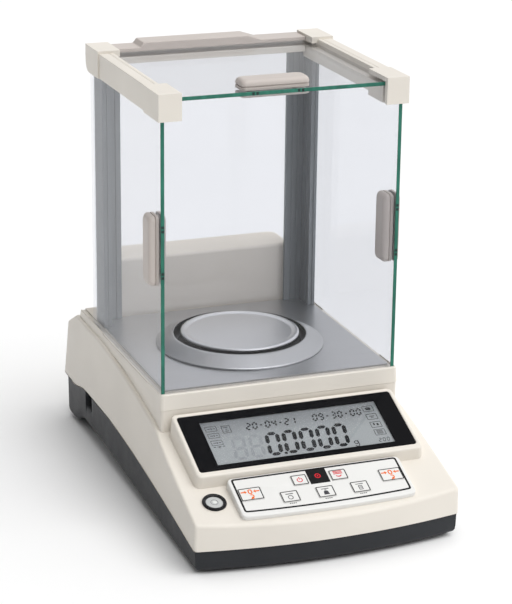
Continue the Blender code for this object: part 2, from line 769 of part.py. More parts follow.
def draft_shield():
    for name, side in SIDES:
        frame_side(name, side)
        column("column_" + name, side)
    rear_rails()
    depth = (GLASS_FRONT, GLASS_FRONT + GLASS)
    box("front_pane", (-PANE_HALF, PANE_HALF), depth, lifted(-0.8, LEDGE_TOP), "glass_clear")
    depth = (FRAME_REAR + GAP, FRAME_REAR + GAP + GLASS)
    box("rear_pane", (-PANE_HALF, PANE_HALF), depth, lifted(GAP, 224.0), "glass_clear")


# ---------------------------------------------------------------- doors and handles


HANDLE_LENGTH = 55.0
HANDLE_WIDTH = 18.0
HANDLE_DEPTH = GLASS_FRONT + 4.0 + HANDLE_WIDTH / 2
HANDLE_HEIGHT = 112.7
TOP_HANDLE_X = -4.7
SCREW_SPACING = 36.4
SCREW_RADIUS = 1.9


def handle_frame(centre, outward, along):
    """Axes at a point on the glass: z is the outward side, y runs along the handle."""
    z_axis = Vector(outward)
    y_axis = Vector(along)
    x_axis = y_axis.cross(z_axis)
    turn = Matrix((x_axis, y_axis, z_axis)).transposed()
    return [MM * value for value in centre], turn.to_euler()


def handle_half(name, layers, centre, outward, along):
    obj = stacked(name, layers, "handle_cream")
    obj.location, obj.rotation_euler = handle_frame(centre, outward, along)
    smooth(obj)
    return obj


def handle_layers(steps):
    """(width, length, radius, height) of each layer, from how much narrower than the handle it is."""
    return [(HANDLE_WIDTH - less, HANDLE_LENGTH - less, radius, height) for less, radius, height in steps]


# The grip has a flange on the glass, a narrow groove, and a rounded bar above it; the plate is flat.
GRIP = [
    (0.0, 4.0, GAP),
    (0.0, 4.0, 2.2),
    (1.2, 3.6, 2.4),
    (1.2, 3.6, 3.0),
    (0.0, 4.0, 3.2),
    (0.0, 4.0, 5.0),
    (2.4, 3.4, 6.8),
    (7.0, 2.4, 8.0),
]
PLATE = [(0.0, 4.0, GAP), (0.0, 4.0, 2.0), (1.2, 3.6, 2.6)]
SCREW_DEPTH = 4.5


def door(name, glass, centre, grip_side, along):
    """A glass door with a handle clamped through it: centre is on the face of the glass with the grip."""
    grip = handle_half(name + "_handle_grip", handle_layers(GRIP), centre, grip_side, along)
    plate_side = [-value for value in grip_side]
    plate_centre = [value - GLASS * step for value, step in zip(centre, grip_side)]
    plate = handle_half(name + "_handle_plate", handle_layers(PLATE), plate_centre, plate_side, along)
    top, end = PLATE[-1][2] + GAP, -GLASS - SCREW_DEPTH
    for which, offset in (("a", -SCREW_SPACING / 2), ("b", SCREW_SPACING / 2)):
        where = [value + offset * step for value, step in zip(plate_centre, along)]
        location, turn = handle_frame(where, plate_side, along)
        bore_radius = SCREW_RADIUS + GAP
        hole = [(0, 9), (bore_radius, 9), (bore_radius, end - 0.5), (0, end - 0.5)]
        bore = turned(f"{name}_bore_{which}", hole, steps=20)
        profile = [(0, top + 1.2), (2.6, top + 1.2), (3.2, top + 0.6), (3.2, top)]
        profile += [(SCREW_RADIUS, top), (SCREW_RADIUS, end), (0, end)]
        screw = turned(f"{name}_handle_screw_{which}", profile, "steel", steps=20)
        for obj in (bore, screw):
            obj.location, obj.rotation_euler = location, turn
        for obj in (glass, grip, plate):
            boolean(obj, bore)


def doors():
    """Both side doors are the same piece, with the grip on its left; the roof's grip is on top."""
    depth = (GLASS_FRONT, FRAME_REAR - 0.4)
    handle_y = PLATEAU_FRONT + HANDLE_DEPTH
    for name, side in SIDES:
        across = span(side, DOOR_INNER, DOOR_OUTER)
        glass = box(name + "_door", across, depth, lifted(-0.8, 217.2), "glass_clear")
        centre = (min(across), handle_y, PLATEAU_TOP + HANDLE_HEIGHT)
        door(name + "_door", glass, centre, (-1, 0, 0), (0, 0, 1))
    across, depth = (-ROOF_HALF, ROOF_HALF), (GLASS_FRONT, 180.0)
    glass = box("top_door", across, depth, lifted(ROOF_BOTTOM, ROOF_TOP), "glass_clear")
    centre = (TOP_HANDLE_X, handle_y, PLATEAU_TOP + ROOF_TOP)
    door("top_door", glass, centre, (0, 0, 1), (1, 0, 0))


# ---------------------------------------------------------------- feet and inner parts


LEVELLER = (80.0, 174.0)
WHEEL = (31.2, 35.8)
WHEEL_RADIUS = 20.3
STUD_RADIUS = 4.0
STUD_TOP = 52.0
NOTCH_BOTTOM = 30.0
FRONT_FOOT = (84.0, -78.0)


def feet(tray):
    """Two levelling feet at the rear, turned by wheels behind side notches, and two rubber feet in front."""
    low, high = WHEEL
    bore = STUD_RADIUS + GAP
    wheel = [(bore, high), (WHEEL_RADIUS, high), (WHEEL_RADIUS, low), (bore, low)]
    foot = [(0, STUD_TOP), (STUD_RADIUS, STUD_TOP), (STUD_RADIUS, 4.0), (7, 4.0), (8, 3), (8, 0), (0, 0)]
    front_foot = [(0, 2.2), (9, 2.2), (10, 0), (0, 0)]
    hole = [(0, 20), (STUD_RADIUS + 0.4, 20), (STUD_RADIUS + 0.4, 0), (0, 0)]
    for name, side in SIDES:
        centre = (side * LEVELLER[0], PLATEAU_FRONT + LEVELLER[1])
        turned("levelling_wheel_" + name, wheel, "tray_black", centre, steps=36)
        turned("foot_pad_" + name, foot, "rubber_black", centre, steps=36)
        boolean(tray, turned(name + "_stud_hole", hole, None, centre, steps=24))
        across, along = span(side, 96.0, 120.0), (LEVELLER[1] - 9.0, LEVELLER[1] + 9.0)
        boolean(tray, box(name + "_notch", across, along, (NOTCH_BOTTOM, 60.0)))
        centre = (side * FRONT_FOOT[0], PLATEAU_FRONT + FRONT_FOOT[1])
        turned("front_foot_" + name, front_foot, "rubber_black", centre, steps=32)


def inner_parts(tray):
    """The load cell under the pan, the main board on its posts, and the sockets in the rear wall."""
    floor, top = 16.4, PLATEAU_TOP - 31.0
    low, high = PAN_CENTRE - 45.0, PAN_CENTRE + 45.0
    cell = box("load_cell", (-30, 30), (low, high), (floor, top), "aluminium_grey", edge=1.0)
    for name, height in (("lower", floor + 12.0), ("upper", top - 14.0)):
        boolean(cell, box(name + "_cell_slot", (-60, 60), (low + 12, high - 12), (height, height + 2.5)))
    board = box("main_board", (-66, 66), (150, 192), (24, 25.6), "board_green")
    for x in (-60, 60):
        for y in (156, 186):
            boolean(board, box(f"post_{x}_{y}", (x - 3, x + 3), (y - 3, y + 3), (floor, 24.5)), "UNION")
    wall, socket_depth = (TRAY_REAR - 10.0, TRAY_REAR + 5.0), (TRAY_REAR - 15.0, TRAY_REAR - 1.8)
    boolean(tray, box("power_opening", (-64.3, -49.7), wall, (13.7, 24.3)))
    socket = box("power_socket", (-64, -50), socket_depth, (14, 24), "tray_black")
    hole = turned("power_hole", [(0, 20), (3.2, 20), (3.2, -1), (0, -1)], steps=20)
    hole.rotation_euler = (math.pi / 2, 0.0, 0.0)
    hole.location = (-57 * MM, (PLATEAU_FRONT + TRAY_REAR) * MM, 19 * MM)
    boolean(socket, hole)
    boolean(tray, box("serial_opening", (-36.3, -3.7), wall, (12.7, 25.3)))
    port = box("serial_port", (-36, -4), socket_depth, (13, 25), "steel")
    boolean(port, box("serial_recess", (-31, -9), (TRAY_REAR - 6.0, TRAY_REAR + 5.0), (15.4, 22.6)))


def main():
    clear_scene()
    upper = upper_housing()
    tray = base_tray()
    panel_parts(upper)
    chamber_floor()
    weighing_parts(upper)
    rear_housing()
    draft_shield()
    doors()
    feet(tray)
    inner_parts(tray)


main()
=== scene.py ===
"""An electronic analytical balance with a glass draft shield: its looks, a floor, soft light and a camera.

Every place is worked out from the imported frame. Lengths are millimetres: across is x, depth y is measured
from the plateau's front edge and grows to the rear, and z is the height over the desk.
"""

import math

import bmesh
import bpy
from mathutils import Matrix, Vector


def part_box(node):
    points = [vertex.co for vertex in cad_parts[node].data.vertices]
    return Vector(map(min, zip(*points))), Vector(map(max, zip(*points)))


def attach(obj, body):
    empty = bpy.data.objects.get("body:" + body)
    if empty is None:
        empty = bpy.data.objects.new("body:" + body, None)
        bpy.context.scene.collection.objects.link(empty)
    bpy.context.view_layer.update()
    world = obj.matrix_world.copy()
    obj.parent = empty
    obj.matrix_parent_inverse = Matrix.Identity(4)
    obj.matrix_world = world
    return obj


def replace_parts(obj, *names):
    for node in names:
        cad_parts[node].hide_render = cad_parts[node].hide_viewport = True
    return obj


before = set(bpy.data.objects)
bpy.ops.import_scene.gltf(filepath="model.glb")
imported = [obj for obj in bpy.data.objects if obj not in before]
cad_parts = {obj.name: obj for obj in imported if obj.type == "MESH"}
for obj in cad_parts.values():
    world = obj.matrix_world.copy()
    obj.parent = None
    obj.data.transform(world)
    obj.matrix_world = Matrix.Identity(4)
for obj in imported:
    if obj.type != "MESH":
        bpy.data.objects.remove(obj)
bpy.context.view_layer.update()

MM = 0.001


def spans(node):
    """(low, high) of a CAD node along x, y and z, in millimetres in the row frame."""
    low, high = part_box(node)
    return [(low[i] / MM, high[i] / MM) for i in range(3)]


# ---- places taken from the frame

GAP = 0.3
PANE_THICKNESS = 3.0
PANE_INSET = 3.2
PANE_HALF = spans("front_pane")[0][1]
DOOR_INNER, DOOR_OUTER = spans("right_door")[0]
TRACK_START = PANE_INSET - GAP
FRONT_TRACK = (TRACK_START, PANE_INSET + PANE_THICKNESS + GAP)

HOUSING = spans("upper_housing")
HOUSING_HALF = HOUSING[0][1]
NOSE_BULGE = 11.0
PLATEAU_FRONT = spans("front_pane")[1][0] - PANE_INSET
PLATEAU_TOP = HOUSING[2][1]
PLATEAU_HALF = 98.5
PLATEAU_DEPTH = 219.0
FRONT = HOUSING[1][0] - PLATEAU_FRONT + NOSE_BULGE
REAR = HOUSING[1][1] - PLATEAU_FRONT
TRAY_REAR = spans("base_tray")[1][1] - PLATEAU_FRONT

PAN_CENTRE = sum(spans("weighing_pan")[1]) / 2 - PLATEAU_FRONT
PAN_WELL_RADIUS = 14.0
WHEEL_ACROSS, _, WHEEL = spans("levelling_wheel_left")
WHEEL_RADIUS = (WHEEL_ACROSS[1] - WHEEL_ACROSS[0]) / 2
LEVELLER = (80.0, sum(spans("foot_pad_left")[1]) / 2 - PLATEAU_FRONT)
STUD_WELL_RADIUS = 4.8
SIDES = (("left", -1), ("right", 1))

# The sloped panel, and the steeper plane that the display and the keys share:
# each is a height below the plateau at its front edge, and a slope.
PANEL_DROP, PANEL_SLOPE = 30.3, 0.325
DISPLAY_DROP, DISPLAY_SLOPE = 18.1, 0.41
DISPLAY_FOOT = -63.0

DESK = Matrix.Translation((0.0, PLATEAU_FRONT, 0.0))
PLATEAU = Matrix.Translation((0.0, PLATEAU_FRONT, PLATEAU_TOP))


def slope_frame(drop, slope):
    """A frame at the display's foot on a sloped plane: x across, y up the slope, z off the plane."""
    place = (0.0, DISPLAY_FOOT, slope * DISPLAY_FOOT - drop)
    return PLATEAU @ Matrix.Translation(place) @ Matrix.Rotation(math.atan(slope), 4, "X")


PANEL = slope_frame(PANEL_DROP, PANEL_SLOPE)
DISPLAY = slope_frame(DISPLAY_DROP, DISPLAY_SLOPE)


# ---- materials

DARK = (0.012, 0.012, 0.013)


class Shade:
    """A material's node tree under construction."""

    def __init__(self):
        self.material = bpy.data.materials.new("look")
        self.material.use_nodes = True
        self.tree = self.material.node_tree
        self.shader = self.tree.nodes["Principled BSDF"]
        self.output = self.tree.nodes["Material Output"]
        self.coordinates = self.tree.nodes.new("ShaderNodeTexCoord").outputs["Object"]

    def node(self, kind, **inputs):
        """A node of a kind with its inputs set; an underscore in a name stands for a space."""
        made = self.tree.nodes.new(kind)
        for name, value in inputs.items():
            self.set(made.inputs[name.replace("_", " ")], value)
        return made

    def set(self, socket, value):
        """Link a socket to another one, or give it a plain value."""
        if isinstance(value, bpy.types.NodeSocket):
            self.tree.links.new(value, socket)
        else:
            socket.default_value = value

    def noise(self, scale, detail=2.0, stretch=(1.0, 1.0, 1.0), vector=None):
        """Noise from 0 to 1 over object space; scale is features per metre."""
        mapping = self.node("ShaderNodeMapping", Vector=vector or self.coordinates, Scale=stretch)
        made = self.node("ShaderNodeTexNoise", Vector=mapping.outputs["Vector"], Scale=scale, Detail=detail)
        return made.outputs["Fac"]

    def ramp(self, factor, low, high, start=0.3, end=0.7):
        """A colour that goes from low to high as the factor goes from start to end."""
        made = self.node("ShaderNodeValToRGB", Fac=factor)
        for element, place, colour in zip(made.color_ramp.elements, (start, end), (low, high)):
            element.position = place
            element.color = (*colour, 1.0)
        return made.outputs["Color"]

    def between(self, factor, low, high):
        """A value that goes from low to high as the factor goes from 0.25 to 0.75."""
        limits = {"From_Min": 0.25, "From_Max": 0.75, "To_Min": low, "To_Max": high}
        return self.node("ShaderNodeMapRange", Value=factor, **limits).outputs["Result"]

    def math(self, operation, value, second, third=None):
        """The result of a math node on two or three values or sockets."""
        made = self.node("ShaderNodeMath")
        made.operation = operation
        for socket, given in zip(made.inputs, (value, second, third)):
            if given is not None:
                self.set(socket, given)
        return made.outputs["Value"]

    def mixed(self, factor, first, second):
        """A colour between two colours."""
        made = self.node("ShaderNodeMix")
        made.data_type = "RGBA"
        factor_socket, first_socket, second_socket = (made.inputs[place] for place in (0, 6, 7))
        self.set(factor_socket, factor)
        self.set(first_socket, first)
        self.set(second_socket, second)
        return made.outputs[2]

    def bump(self, height, depth, strength=1.0):
        """Surface relief of the given depth in millimetres."""
        made = self.node("ShaderNodeBump", Height=height, Strength=strength, Distance=depth * MM)
        self.set(self.shader.inputs["Normal"], made.outputs["Normal"])

    def principled(self, **inputs):
        """The finished material, with the main shader's inputs set."""
        for name, value in inputs.items():
            self.set(self.shader.inputs[name.replace("_", " ")], value)
        return self.material


def scaled(colour, factor):
    """A colour made lighter or darker."""
    return tuple(min(1.0, channel * factor) for channel in colour)


def moulded_plastic(colour, roughness=0.42, grain=0.03, variation=0.03, specular=0.4):
    """Injection-moulded plastic: a fine grain, and a slow drift of tone and gloss."""
    shade = Shade()
    drift = shade.noise(14.0)
    tone = shade.ramp(drift, scaled(colour, 1.0 - variation), scaled(colour, 1.0 + variation))
    gloss = shade.between(shade.noise(90.0, detail=4.0), roughness - 0.05, roughness + 0.05)
    shade.bump(shade.noise(2200.0, detail=1.0), grain)
    return shade.principled(Base_Color=tone, Roughness=gloss, Specular_IOR_Level=specular)


def brushed_metal(colour, roughness, stretch):
    """Metal with fine parallel scratches along the axis whose stretch is smallest."""
    shade = Shade()
    scratches = shade.noise(1800.0, detail=3.0, stretch=stretch)
    tone = shade.ramp(scratches, scaled(colour, 0.86), scaled(colour, 1.1))
    shade.bump(scratches, 0.01, strength=0.5)
    gloss = shade.between(scratches, roughness - 0.06, roughness + 0.08)
    return shade.principled(Base_Color=tone, Metallic=1.0, Roughness=gloss)


def anodised_metal(colour):
    """Grey anodised extrusion: a satin film over metal with faint drawing lines along its height."""
    shade = Shade()
    lines = shade.noise(1500.0, detail=3.0, stretch=(1.0, 1.0, 0.02))
    tone = shade.ramp(lines, scaled(colour, 0.88), scaled(colour, 1.1))
    shade.bump(lines, 0.01, strength=0.5)
    return shade.principled(Base_Color=tone, Metallic=0.35, Roughness=shade.between(lines, 0.4, 0.5))


def radius_about(shade, centre):
    """Distance in metres from the upright axis at centre, given in millimetres."""
    away = (-centre[0] * MM, -centre[1] * MM, 0.0)
    place = shade.node("ShaderNodeMapping", Vector=shade.coordinates, Location=away, Scale=(1.0, 1.0, 0.0))
    length = shade.node("ShaderNodeVectorMath")
    length.operation = "LENGTH"
    shade.set(length.inputs[0], place.outputs["Vector"])
    return length.outputs["Value"]


def turned_metal(colour, roughness, centre):
    """Metal turned on a lathe: fine rings about an upright axis at the centre."""
    shade = Shade()
    rings = shade.noise(1500.0, detail=3.0, vector=radius_about(shade, centre))
    tone = shade.ramp(rings, scaled(colour, 0.94), scaled(colour, 1.04))
    shade.bump(rings, 0.004, strength=0.3)
    gloss = shade.between(rings, roughness - 0.04, roughness + 0.05)
    return shade.principled(Base_Color=tone, Metallic=1.0, Roughness=gloss)


def brushed_plate(colour, roughness, centre, shade_radius):
    """A brushed plate with painted shade: a black round field about the centre, for the shadow under the pan.
    """
    shade = Shade()
    scratches = shade.noise(1800.0, detail=3.0, stretch=(0.02, 1.0, 1.0))
    tone = shade.ramp(scratches, scaled(colour, 0.92), scaled(colour, 1.05))
    # Painted shade: inside this radius the plate is black and not metallic, for the shadow under the pan.
    unshaded = shade.math("GREATER_THAN", radius_about(shade, centre), shade_radius * MM)
    shaded_field = shade.mixed(unshaded, (*DARK, 1.0), tone)
    shade.bump(scratches, 0.005, strength=0.4)
    gloss = shade.between(scratches, roughness - 0.05, roughness + 0.07)
    return shade.principled(Base_Color=shaded_field, Metallic=unshaded, Roughness=gloss)


def clear_glass(tint, mirror_strength):
    """Thin clear glass: a mirror gloss that grows toward grazing angles, and faint smears."""
    shade = Shade()
    facing = shade.node("ShaderNodeLayerWeight", Blend=0.5).outputs["Facing"]
    smear = shade.between(shade.noise(25.0, detail=4.0), 0.018, 0.028)
    gloss = shade.math("MULTIPLY_ADD", shade.math("POWER", facing, 5.0), mirror_strength, smear)
    through = shade.node("ShaderNodeBsdfTransparent", Color=(*tint, 1.0))
    mirror = shade.node("ShaderNodeBsdfGlossy", Roughness=0.03)
    both = shade.node("ShaderNodeMixShader", Fac=gloss)
    shade.set(both.inputs[1], through.outputs["BSDF"])
    shade.set(both.inputs[2], mirror.outputs["BSDF"])
    shade.set(shade.output.inputs["Surface"], both.outputs["Shader"])
    return shade.material


def polished_edge(colour):
    """The ground and polished edge of a glass pane, where its green body colour shows."""
    shade = Shade()
    streaks = shade.noise(260.0, detail=3.0, stretch=(1.0, 1.0, 0.25))
    tone = shade.ramp(streaks, scaled(colour, 0.8), scaled(colour, 1.25))
    return shade.principled(Base_Color=tone, Roughness=0.25, Specular_IOR_Level=0.25)


def printed(colour):
    """Screen-printed ink on a satin overlay."""
    shade = Shade()
    tone = shade.ramp(shade.noise(1500.0), scaled(colour, 0.92), scaled(colour, 1.06))
    return shade.principled(Base_Color=tone, Roughness=0.5, Specular_IOR_Level=0.15)


def glossy_panel(colour, roughness=0.12, specular=0.5):
    """A smooth gloss surface with faint dust and handling marks."""
    shade = Shade()
    dust = shade.noise(700.0, detail=5.0)
    tone = shade.ramp(dust, colour, scaled(colour, 1.12), 0.55, 0.8)
    gloss = shade.between(dust, roughness * 0.8, roughness * 1.3)
    return shade.principled(Base_Color=tone, Roughness=gloss, Specular_IOR_Level=specular)


def liquid_crystal(low, high):
    """The display's grey glass, a little darker toward its upper edge where the frame shades it."""
    shade = Shade()
    height = shade.node("ShaderNodeSeparateXYZ", Vector=shade.coordinates).outputs["Z"]
    bottom, top = spans("lcd_panel")[2]
    rise = shade.node("ShaderNodeMapRange", Value=height, From_Min=bottom * MM, From_Max=top * MM)
    grey = shade.ramp(rise.outputs["Result"], high, low, 0.55, 1.0)
    speckle = shade.between(shade.noise(1400.0), 0.0, 0.08)
    tone = shade.mixed(speckle, grey, (*scaled(low, 0.8), 1.0))
    return shade.principled(Base_Color=tone, Roughness=0.3, Specular_IOR_Level=0.3)


def circuit_board():
    """A green board with darker traces."""
    shade = Shade()
    traces = shade.noise(420.0, detail=1.0, stretch=(1.0, 4.0, 1.0))
    tone = shade.ramp(traces, (0.012, 0.09, 0.035), (0.03, 0.2, 0.075), 0.48, 0.52)
    return shade.principled(Base_Color=tone, Roughness=0.35)


def painted_floor():
    """A pale studio floor with a slow drift of tone."""
    shade = Shade()
    tone = shade.ramp(shade.noise(3.0), (0.93, 0.93, 0.93), (0.95, 0.95, 0.95))
    return shade.principled(Base_Color=tone, Roughness=0.9)


CREAM = (0.79, 0.745, 0.675)
PAN_AXIS = (0.0, PLATEAU_FRONT + PAN_CENTRE)
LOOKS = {
    "housing_cream": moulded_plastic(CREAM),
    # Painted light: a lighter, warmer copy of the housing's cream for the rear box, which the glass and frame
    # keep in shade.
    "rear_cream_painted_light": moulded_plastic((0.96, 0.885, 0.765)),
    "handle_cream": moulded_plastic((0.56, 0.505, 0.47)),
    "tray_black": moulded_plastic((0.020, 0.022, 0.026), 0.48, 0.06, 0.15, specular=0.3),
    "socket_black": moulded_plastic(DARK, 0.5, variation=0.1, specular=0.2),
    "keypad_white": moulded_plastic((0.80, 0.795, 0.775), 0.35, 0.01, 0.015),
    "rubber_black": moulded_plastic((0.018, 0.018, 0.018), 0.8, 0.08, 0.2, specular=0.2),
    "window_black": glossy_panel((0.004, 0.004, 0.005), specular=0.06),
    "level_black": glossy_panel((0.008, 0.008, 0.009), roughness=0.25, specular=0.3),
    "level_glass": glossy_panel((0.55, 0.56, 0.55), roughness=0.1),
    "level_bubble": glossy_panel((0.75, 0.77, 0.74), roughness=0.05),
    "lcd_grey": liquid_crystal((0.20, 0.215, 0.23), (0.36, 0.385, 0.40)),
    "lcd_mark": printed((0.006, 0.007, 0.009)),
    "lcd_icon": printed((0.014, 0.015, 0.018)),
    "lcd_ghost": printed((0.30, 0.32, 0.335)),
    "print_black": printed((0.006, 0.006, 0.007)),
    "print_grey": printed((0.06, 0.06, 0.068)),
    "print_orange": printed((0.85, 0.16, 0.02)),
    "print_red": printed((0.68, 0.02, 0.035)),
    "glass_clear": clear_glass((0.946, 0.950, 0.962), 0.5),
    "window_clear": clear_glass((0.98, 0.98, 0.98), 0.08),
    "glass_edge": polished_edge((0.026, 0.165, 0.115)),
    "glass_mark": polished_edge((0.012, 0.03, 0.028)),
    "aluminium_grey": anodised_metal((0.205, 0.222, 0.235)),
    # The plate's black field out to 51 mm is painted shade under the pan.
    "stainless_plate": brushed_plate((0.66, 0.665, 0.68), 0.34, PAN_AXIS, 51.0),
    "stainless_pan": turned_metal((0.78, 0.785, 0.80), 0.38, PAN_AXIS),
    "stainless_ring": turned_metal((0.56, 0.565, 0.575), 0.38, PAN_AXIS),
    # Painted shade: a black look for the draft ring's inner and lower faces, which stand in shadow.
    "painted_shade_black": moulded_plastic(DARK, 0.6, variation=0.1, specular=0.1),
    "steel": brushed_metal((0.45, 0.45, 0.46), 0.35, (1.0, 1.0, 0.1)),
    "board_green": circuit_board(),
    "floor_pale": painted_floor(),
}
for look_name, material in LOOKS.items():
    material.name = look_name


# ---- mesh helpers

PIECES = []


def piece(name, points, faces, look, body="balance", place=DESK, sharp=32, looks=()):
    """A mesh from points in millimetres in the given frame, riding on a CAD body."""
    mesh = bpy.data.meshes.new(name)
    mesh.from_pydata([place @ Vector(point) * MM for point in points], [], faces)
    shape = bmesh.new()
    shape.from_mesh(mesh)
    bmesh.ops.remove_doubles(shape, verts=shape.verts, dist=2e-6)
    bmesh.ops.recalc_face_normals(shape, faces=shape.faces)
    shape.to_mesh(mesh)
    shape.free()
    mesh.shade_smooth()
    mesh.set_sharp_from_angle(angle=math.radians(sharp))
    for material in (look, *looks):
        mesh.materials.append(LOOKS[material])
    obj = bpy.data.objects.new(name, mesh)
    bpy.context.scene.collection.objects.link(obj)
    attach(obj, body)
    PIECES.append(obj)
    return obj


def flat_faces_first():
    """Weigh each piece's shading by face area, so that large flat faces stay flat."""
    for obj in PIECES:
        weighted = obj.modifiers.new("area_shading", "WEIGHTED_NORMAL")
        weighted.keep_sharp = True


def skin(rings):
    """Faces that join each ring of points to the next one."""
    count = len(rings[0])
    faces = []
    for step in range(len(rings) - 1):
        low, high = step * count, (step + 1) * count
        for i in range(count):
            after = (i + 1) % count
            faces.append((low + i, low + after, high + after, high + i))
    return faces


def loft(name, rings, look, hollow=False, **options):
    """A closed skin over rings of points: capped at both ends, or joined end to end when hollow."""
    if hollow:
        rings = rings + [rings[0]]
    faces = skin(rings)
    if not hollow:
        count = len(rings[0])
        last = count * (len(rings) - 1)
        faces += [tuple(range(count)), tuple(range(last, last + count))]
    return piece(name, [point for ring in rings for point in ring], faces, look, **options)


def polar(centre, radius, angle):
    """The point at an angle on a circle about the centre."""
    return (centre[0] + radius * math.cos(angle), centre[1] + radius * math.sin(angle))


def lathe(name, profile, look, centre, steps=96, **options):
    """A closed profile of (radius, height) points turned about an upright axis at centre."""
    rings = []
    for i in range(steps):
        angle = math.tau * i / steps
        rings.append([(*polar(centre, radius, angle), z) for radius, z in profile])
    return loft(name, rings, look, hollow=True, **options)


def rounded_rectangle(width, height, radius, centre=(0.0, 0.0), steps=8):
    """An outline with four round corners, counted from the right side's upper end."""
    points = []
    for quarter, (across, up) in enumerate(((1, 1), (-1, 1), (-1, -1), (1, -1))):
        corner = (centre[0] + across * (width / 2 - radius), centre[1] + up * (height / 2 - radius))
        points += [polar(corner, radius, math.pi / 2 * (quarter + i / steps)) for i in range(steps + 1)]
    return points


def arc(centre, radius, start, end, steps):
    """Points along a circle from one angle to another, in degrees."""
    angles = [math.radians(start + (end - start) * i / steps) for i in range(steps + 1)]
    return [polar(centre, radius, angle) for angle in angles]


def quarter_round(radius, steps=5):
    """(inset, drop) from the side of a rounded edge to its top."""
    angles = [math.pi / 2 * i / steps for i in range(steps + 1)]
    return [(radius * (1 - math.cos(angle)), radius * (1 - math.sin(angle))) for angle in angles]


def prism(name, outline, low, high, look, axis="z", edge=0.0, **options):
    """An outline drawn out along an axis: its points are the two other coordinates in x, y, z order."""
    slot = "xyz".index(axis)
    rings = [[(*point[:slot], depth, *point[slot:]) for point in outline] for depth in (low, high)]
    obj = loft(name, rings, look, **options)
    if edge:
        soften(obj, edge)
    return obj


def block(name, x, y, z, look="housing_cream", edge=0.0, **options):
    """A rectangular block between (low, high) spans."""
    outline = [(x[0], y[0]), (x[1], y[0]), (x[1], y[1]), (x[0], y[1])]
    return prism(name, outline, z[0], z[1], look, edge=edge, **options)


def soften(obj, width, segments=3):
    """Round the sharp edges of an object by a live bevel."""
    bevel = obj.modifiers.new("softened_edges", "BEVEL")
    bevel.width = width * MM
    bevel.segments = segments
    bevel.limit_method = "ANGLE"
    bevel.angle_limit = math.radians(40)
    bevel.harden_normals = True


def cut(obj, *cutters):
    """Take each cutter's shape out of the object for good, and remove the cutter."""
    for cutter in cutters:
        modifier = obj.modifiers.new("cut", "BOOLEAN")
        modifier.solver = "EXACT"
        modifier.object = cutter
    bpy.context.view_layer.update()
    graph = bpy.context.evaluated_depsgraph_get()
    mesh = bpy.data.meshes.new_from_object(obj.evaluated_get(graph))
    obj.modifiers.clear()
    obj.data = mesh
    for cutter in cutters:
        PIECES.remove(cutter)
        bpy.data.objects.remove(cutter)
    return obj


def span(side, low, high):
    """The x span low..high of the right side, carried to the given side."""
    return (low, high) if side > 0 else (-high, -low)


def door_room(side):
    """The span across a side door's glass, with a little room on both faces."""
    return span(side, DOOR_INNER - 0.4, DOOR_OUTER + 0.4)


def mirrored(outline, side):
    """An outline drawn for the right side, carried to the given side."""
    return [(side * a, b) for a, b in outline]


def lifted(low, high):
    """A height span over the plateau, as heights over the desk."""
    return (PLATEAU_TOP + low, PLATEAU_TOP + high)


# ---- the housing's form


def smoothstep(t):
    """0 to 1 along a soft S as t goes from 0 to 1."""
    t = min(1.0, max(0.0, t))
    return t * t * (3.0 - 2.0 * t)


def panel_height(y):
    """Height of the sloped panel's plane, from the plateau's top; the forms below use the same zero."""
    return -PANEL_DROP + PANEL_SLOPE * y


def shoulder_height(y):
    """The shoulder follows the panel, eases out to level, and slopes down behind the plateau."""
    ease_start, ease_end, level = 15.0, 155.0, -6.4
    if y <= ease_start:
        return panel_height(y)
    left = max(0.0, (ease_end - y) / (ease_end - ease_start))
    behind_plateau = max(0.0, y - PLATEAU_DEPTH - 3.0)
    return level - (level - panel_height(ease_start)) * left**1.4 - 0.5 * behind_plateau


def seam_height(y):
    """The seam between housing and tray: level in the middle, lower toward the front and at the rear."""
    level, bow_start, front_drop, rear_drop = -60.0, 107.0, 24.5, 6.0
    forward = max(0.0, (bow_start - y) / 209.0)
    return level - front_drop * forward**1.4 - rear_drop * smoothstep((y - 182.0) / 36.0)


def bottom_height(y):
    """The tray's underside: a long arch between the front edge and the rear corners."""
    lowest, arch = -101.5, 10.5
    rise = min(1.0, max(0.0, (y + 85.0) / 235.0)) ** 1.3
    return lowest + arch * (rise - smoothstep((y - 190.0) / 38.0))


FRONT_CORNER = 2.0
REAR_CORNER = 7.0


def corner_inset(y, rear=REAR):
    """How far the sides come in at a depth, to round the four upright corners."""
    into_rear = min(REAR_CORNER, max(0.0, y - (rear - REAR_CORNER)))
    into_front = min(FRONT_CORNER, max(0.0, FRONT + FRONT_CORNER - y))
    inset = REAR_CORNER - math.sqrt(REAR_CORNER**2 - into_rear**2)
    return inset + FRONT_CORNER - math.sqrt(FRONT_CORNER**2 - into_front**2)


def rear_bend(y):
    """How far the sides bend softly inward toward the rear."""
    return 0.8 * (max(0.0, y - 190.0) / 60.0) ** 2


def side_half(y):
    """Half width at the seam, before the corners, with a taper of 1 mm from front to rear."""
    return HOUSING_HALF - (y - FRONT) / (REAR - FRONT) - rear_bend(y)


def crease_half(y):
    """Half width at the crease over the sides, which widens beside the panel."""
    forward = min(1.0, max(0.0, -y / 101.0))
    return 102.0 + 4.6 * forward**0.6 - rear_bend(y)


def band_height(y):
    """Drop from the plateau's top to the band under its lip."""
    return 12.2 - 6.6 * y / PLATEAU_DEPTH


def bulged(x, y):
    """The depth of a point once the nose bows forward, fading out at the display's foot."""
    fade = max(0.0, (DISPLAY_FOOT - y) / (DISPLAY_FOOT - FRONT))
    return y - NOSE_BULGE * fade * (1.0 - (x / HOUSING_HALF) ** 2)


def bend_between(start, corner, end, steps=5):
    """Points of a smooth curve from start to end that heads for the corner."""
    points = []
    for i in range(steps + 1):
        t = i / steps
        weights = ((1 - t) ** 2, 2 * t * (1 - t), t * t)
        points.append(tuple(sum(w * p[k] for w, p in zip(weights, (start, corner, end))) for k in (0, 1)))
    return points


COLUMNS = [96.0 - 12.0 * i for i in range(17)]
EDGE_RADIUS = 2.4


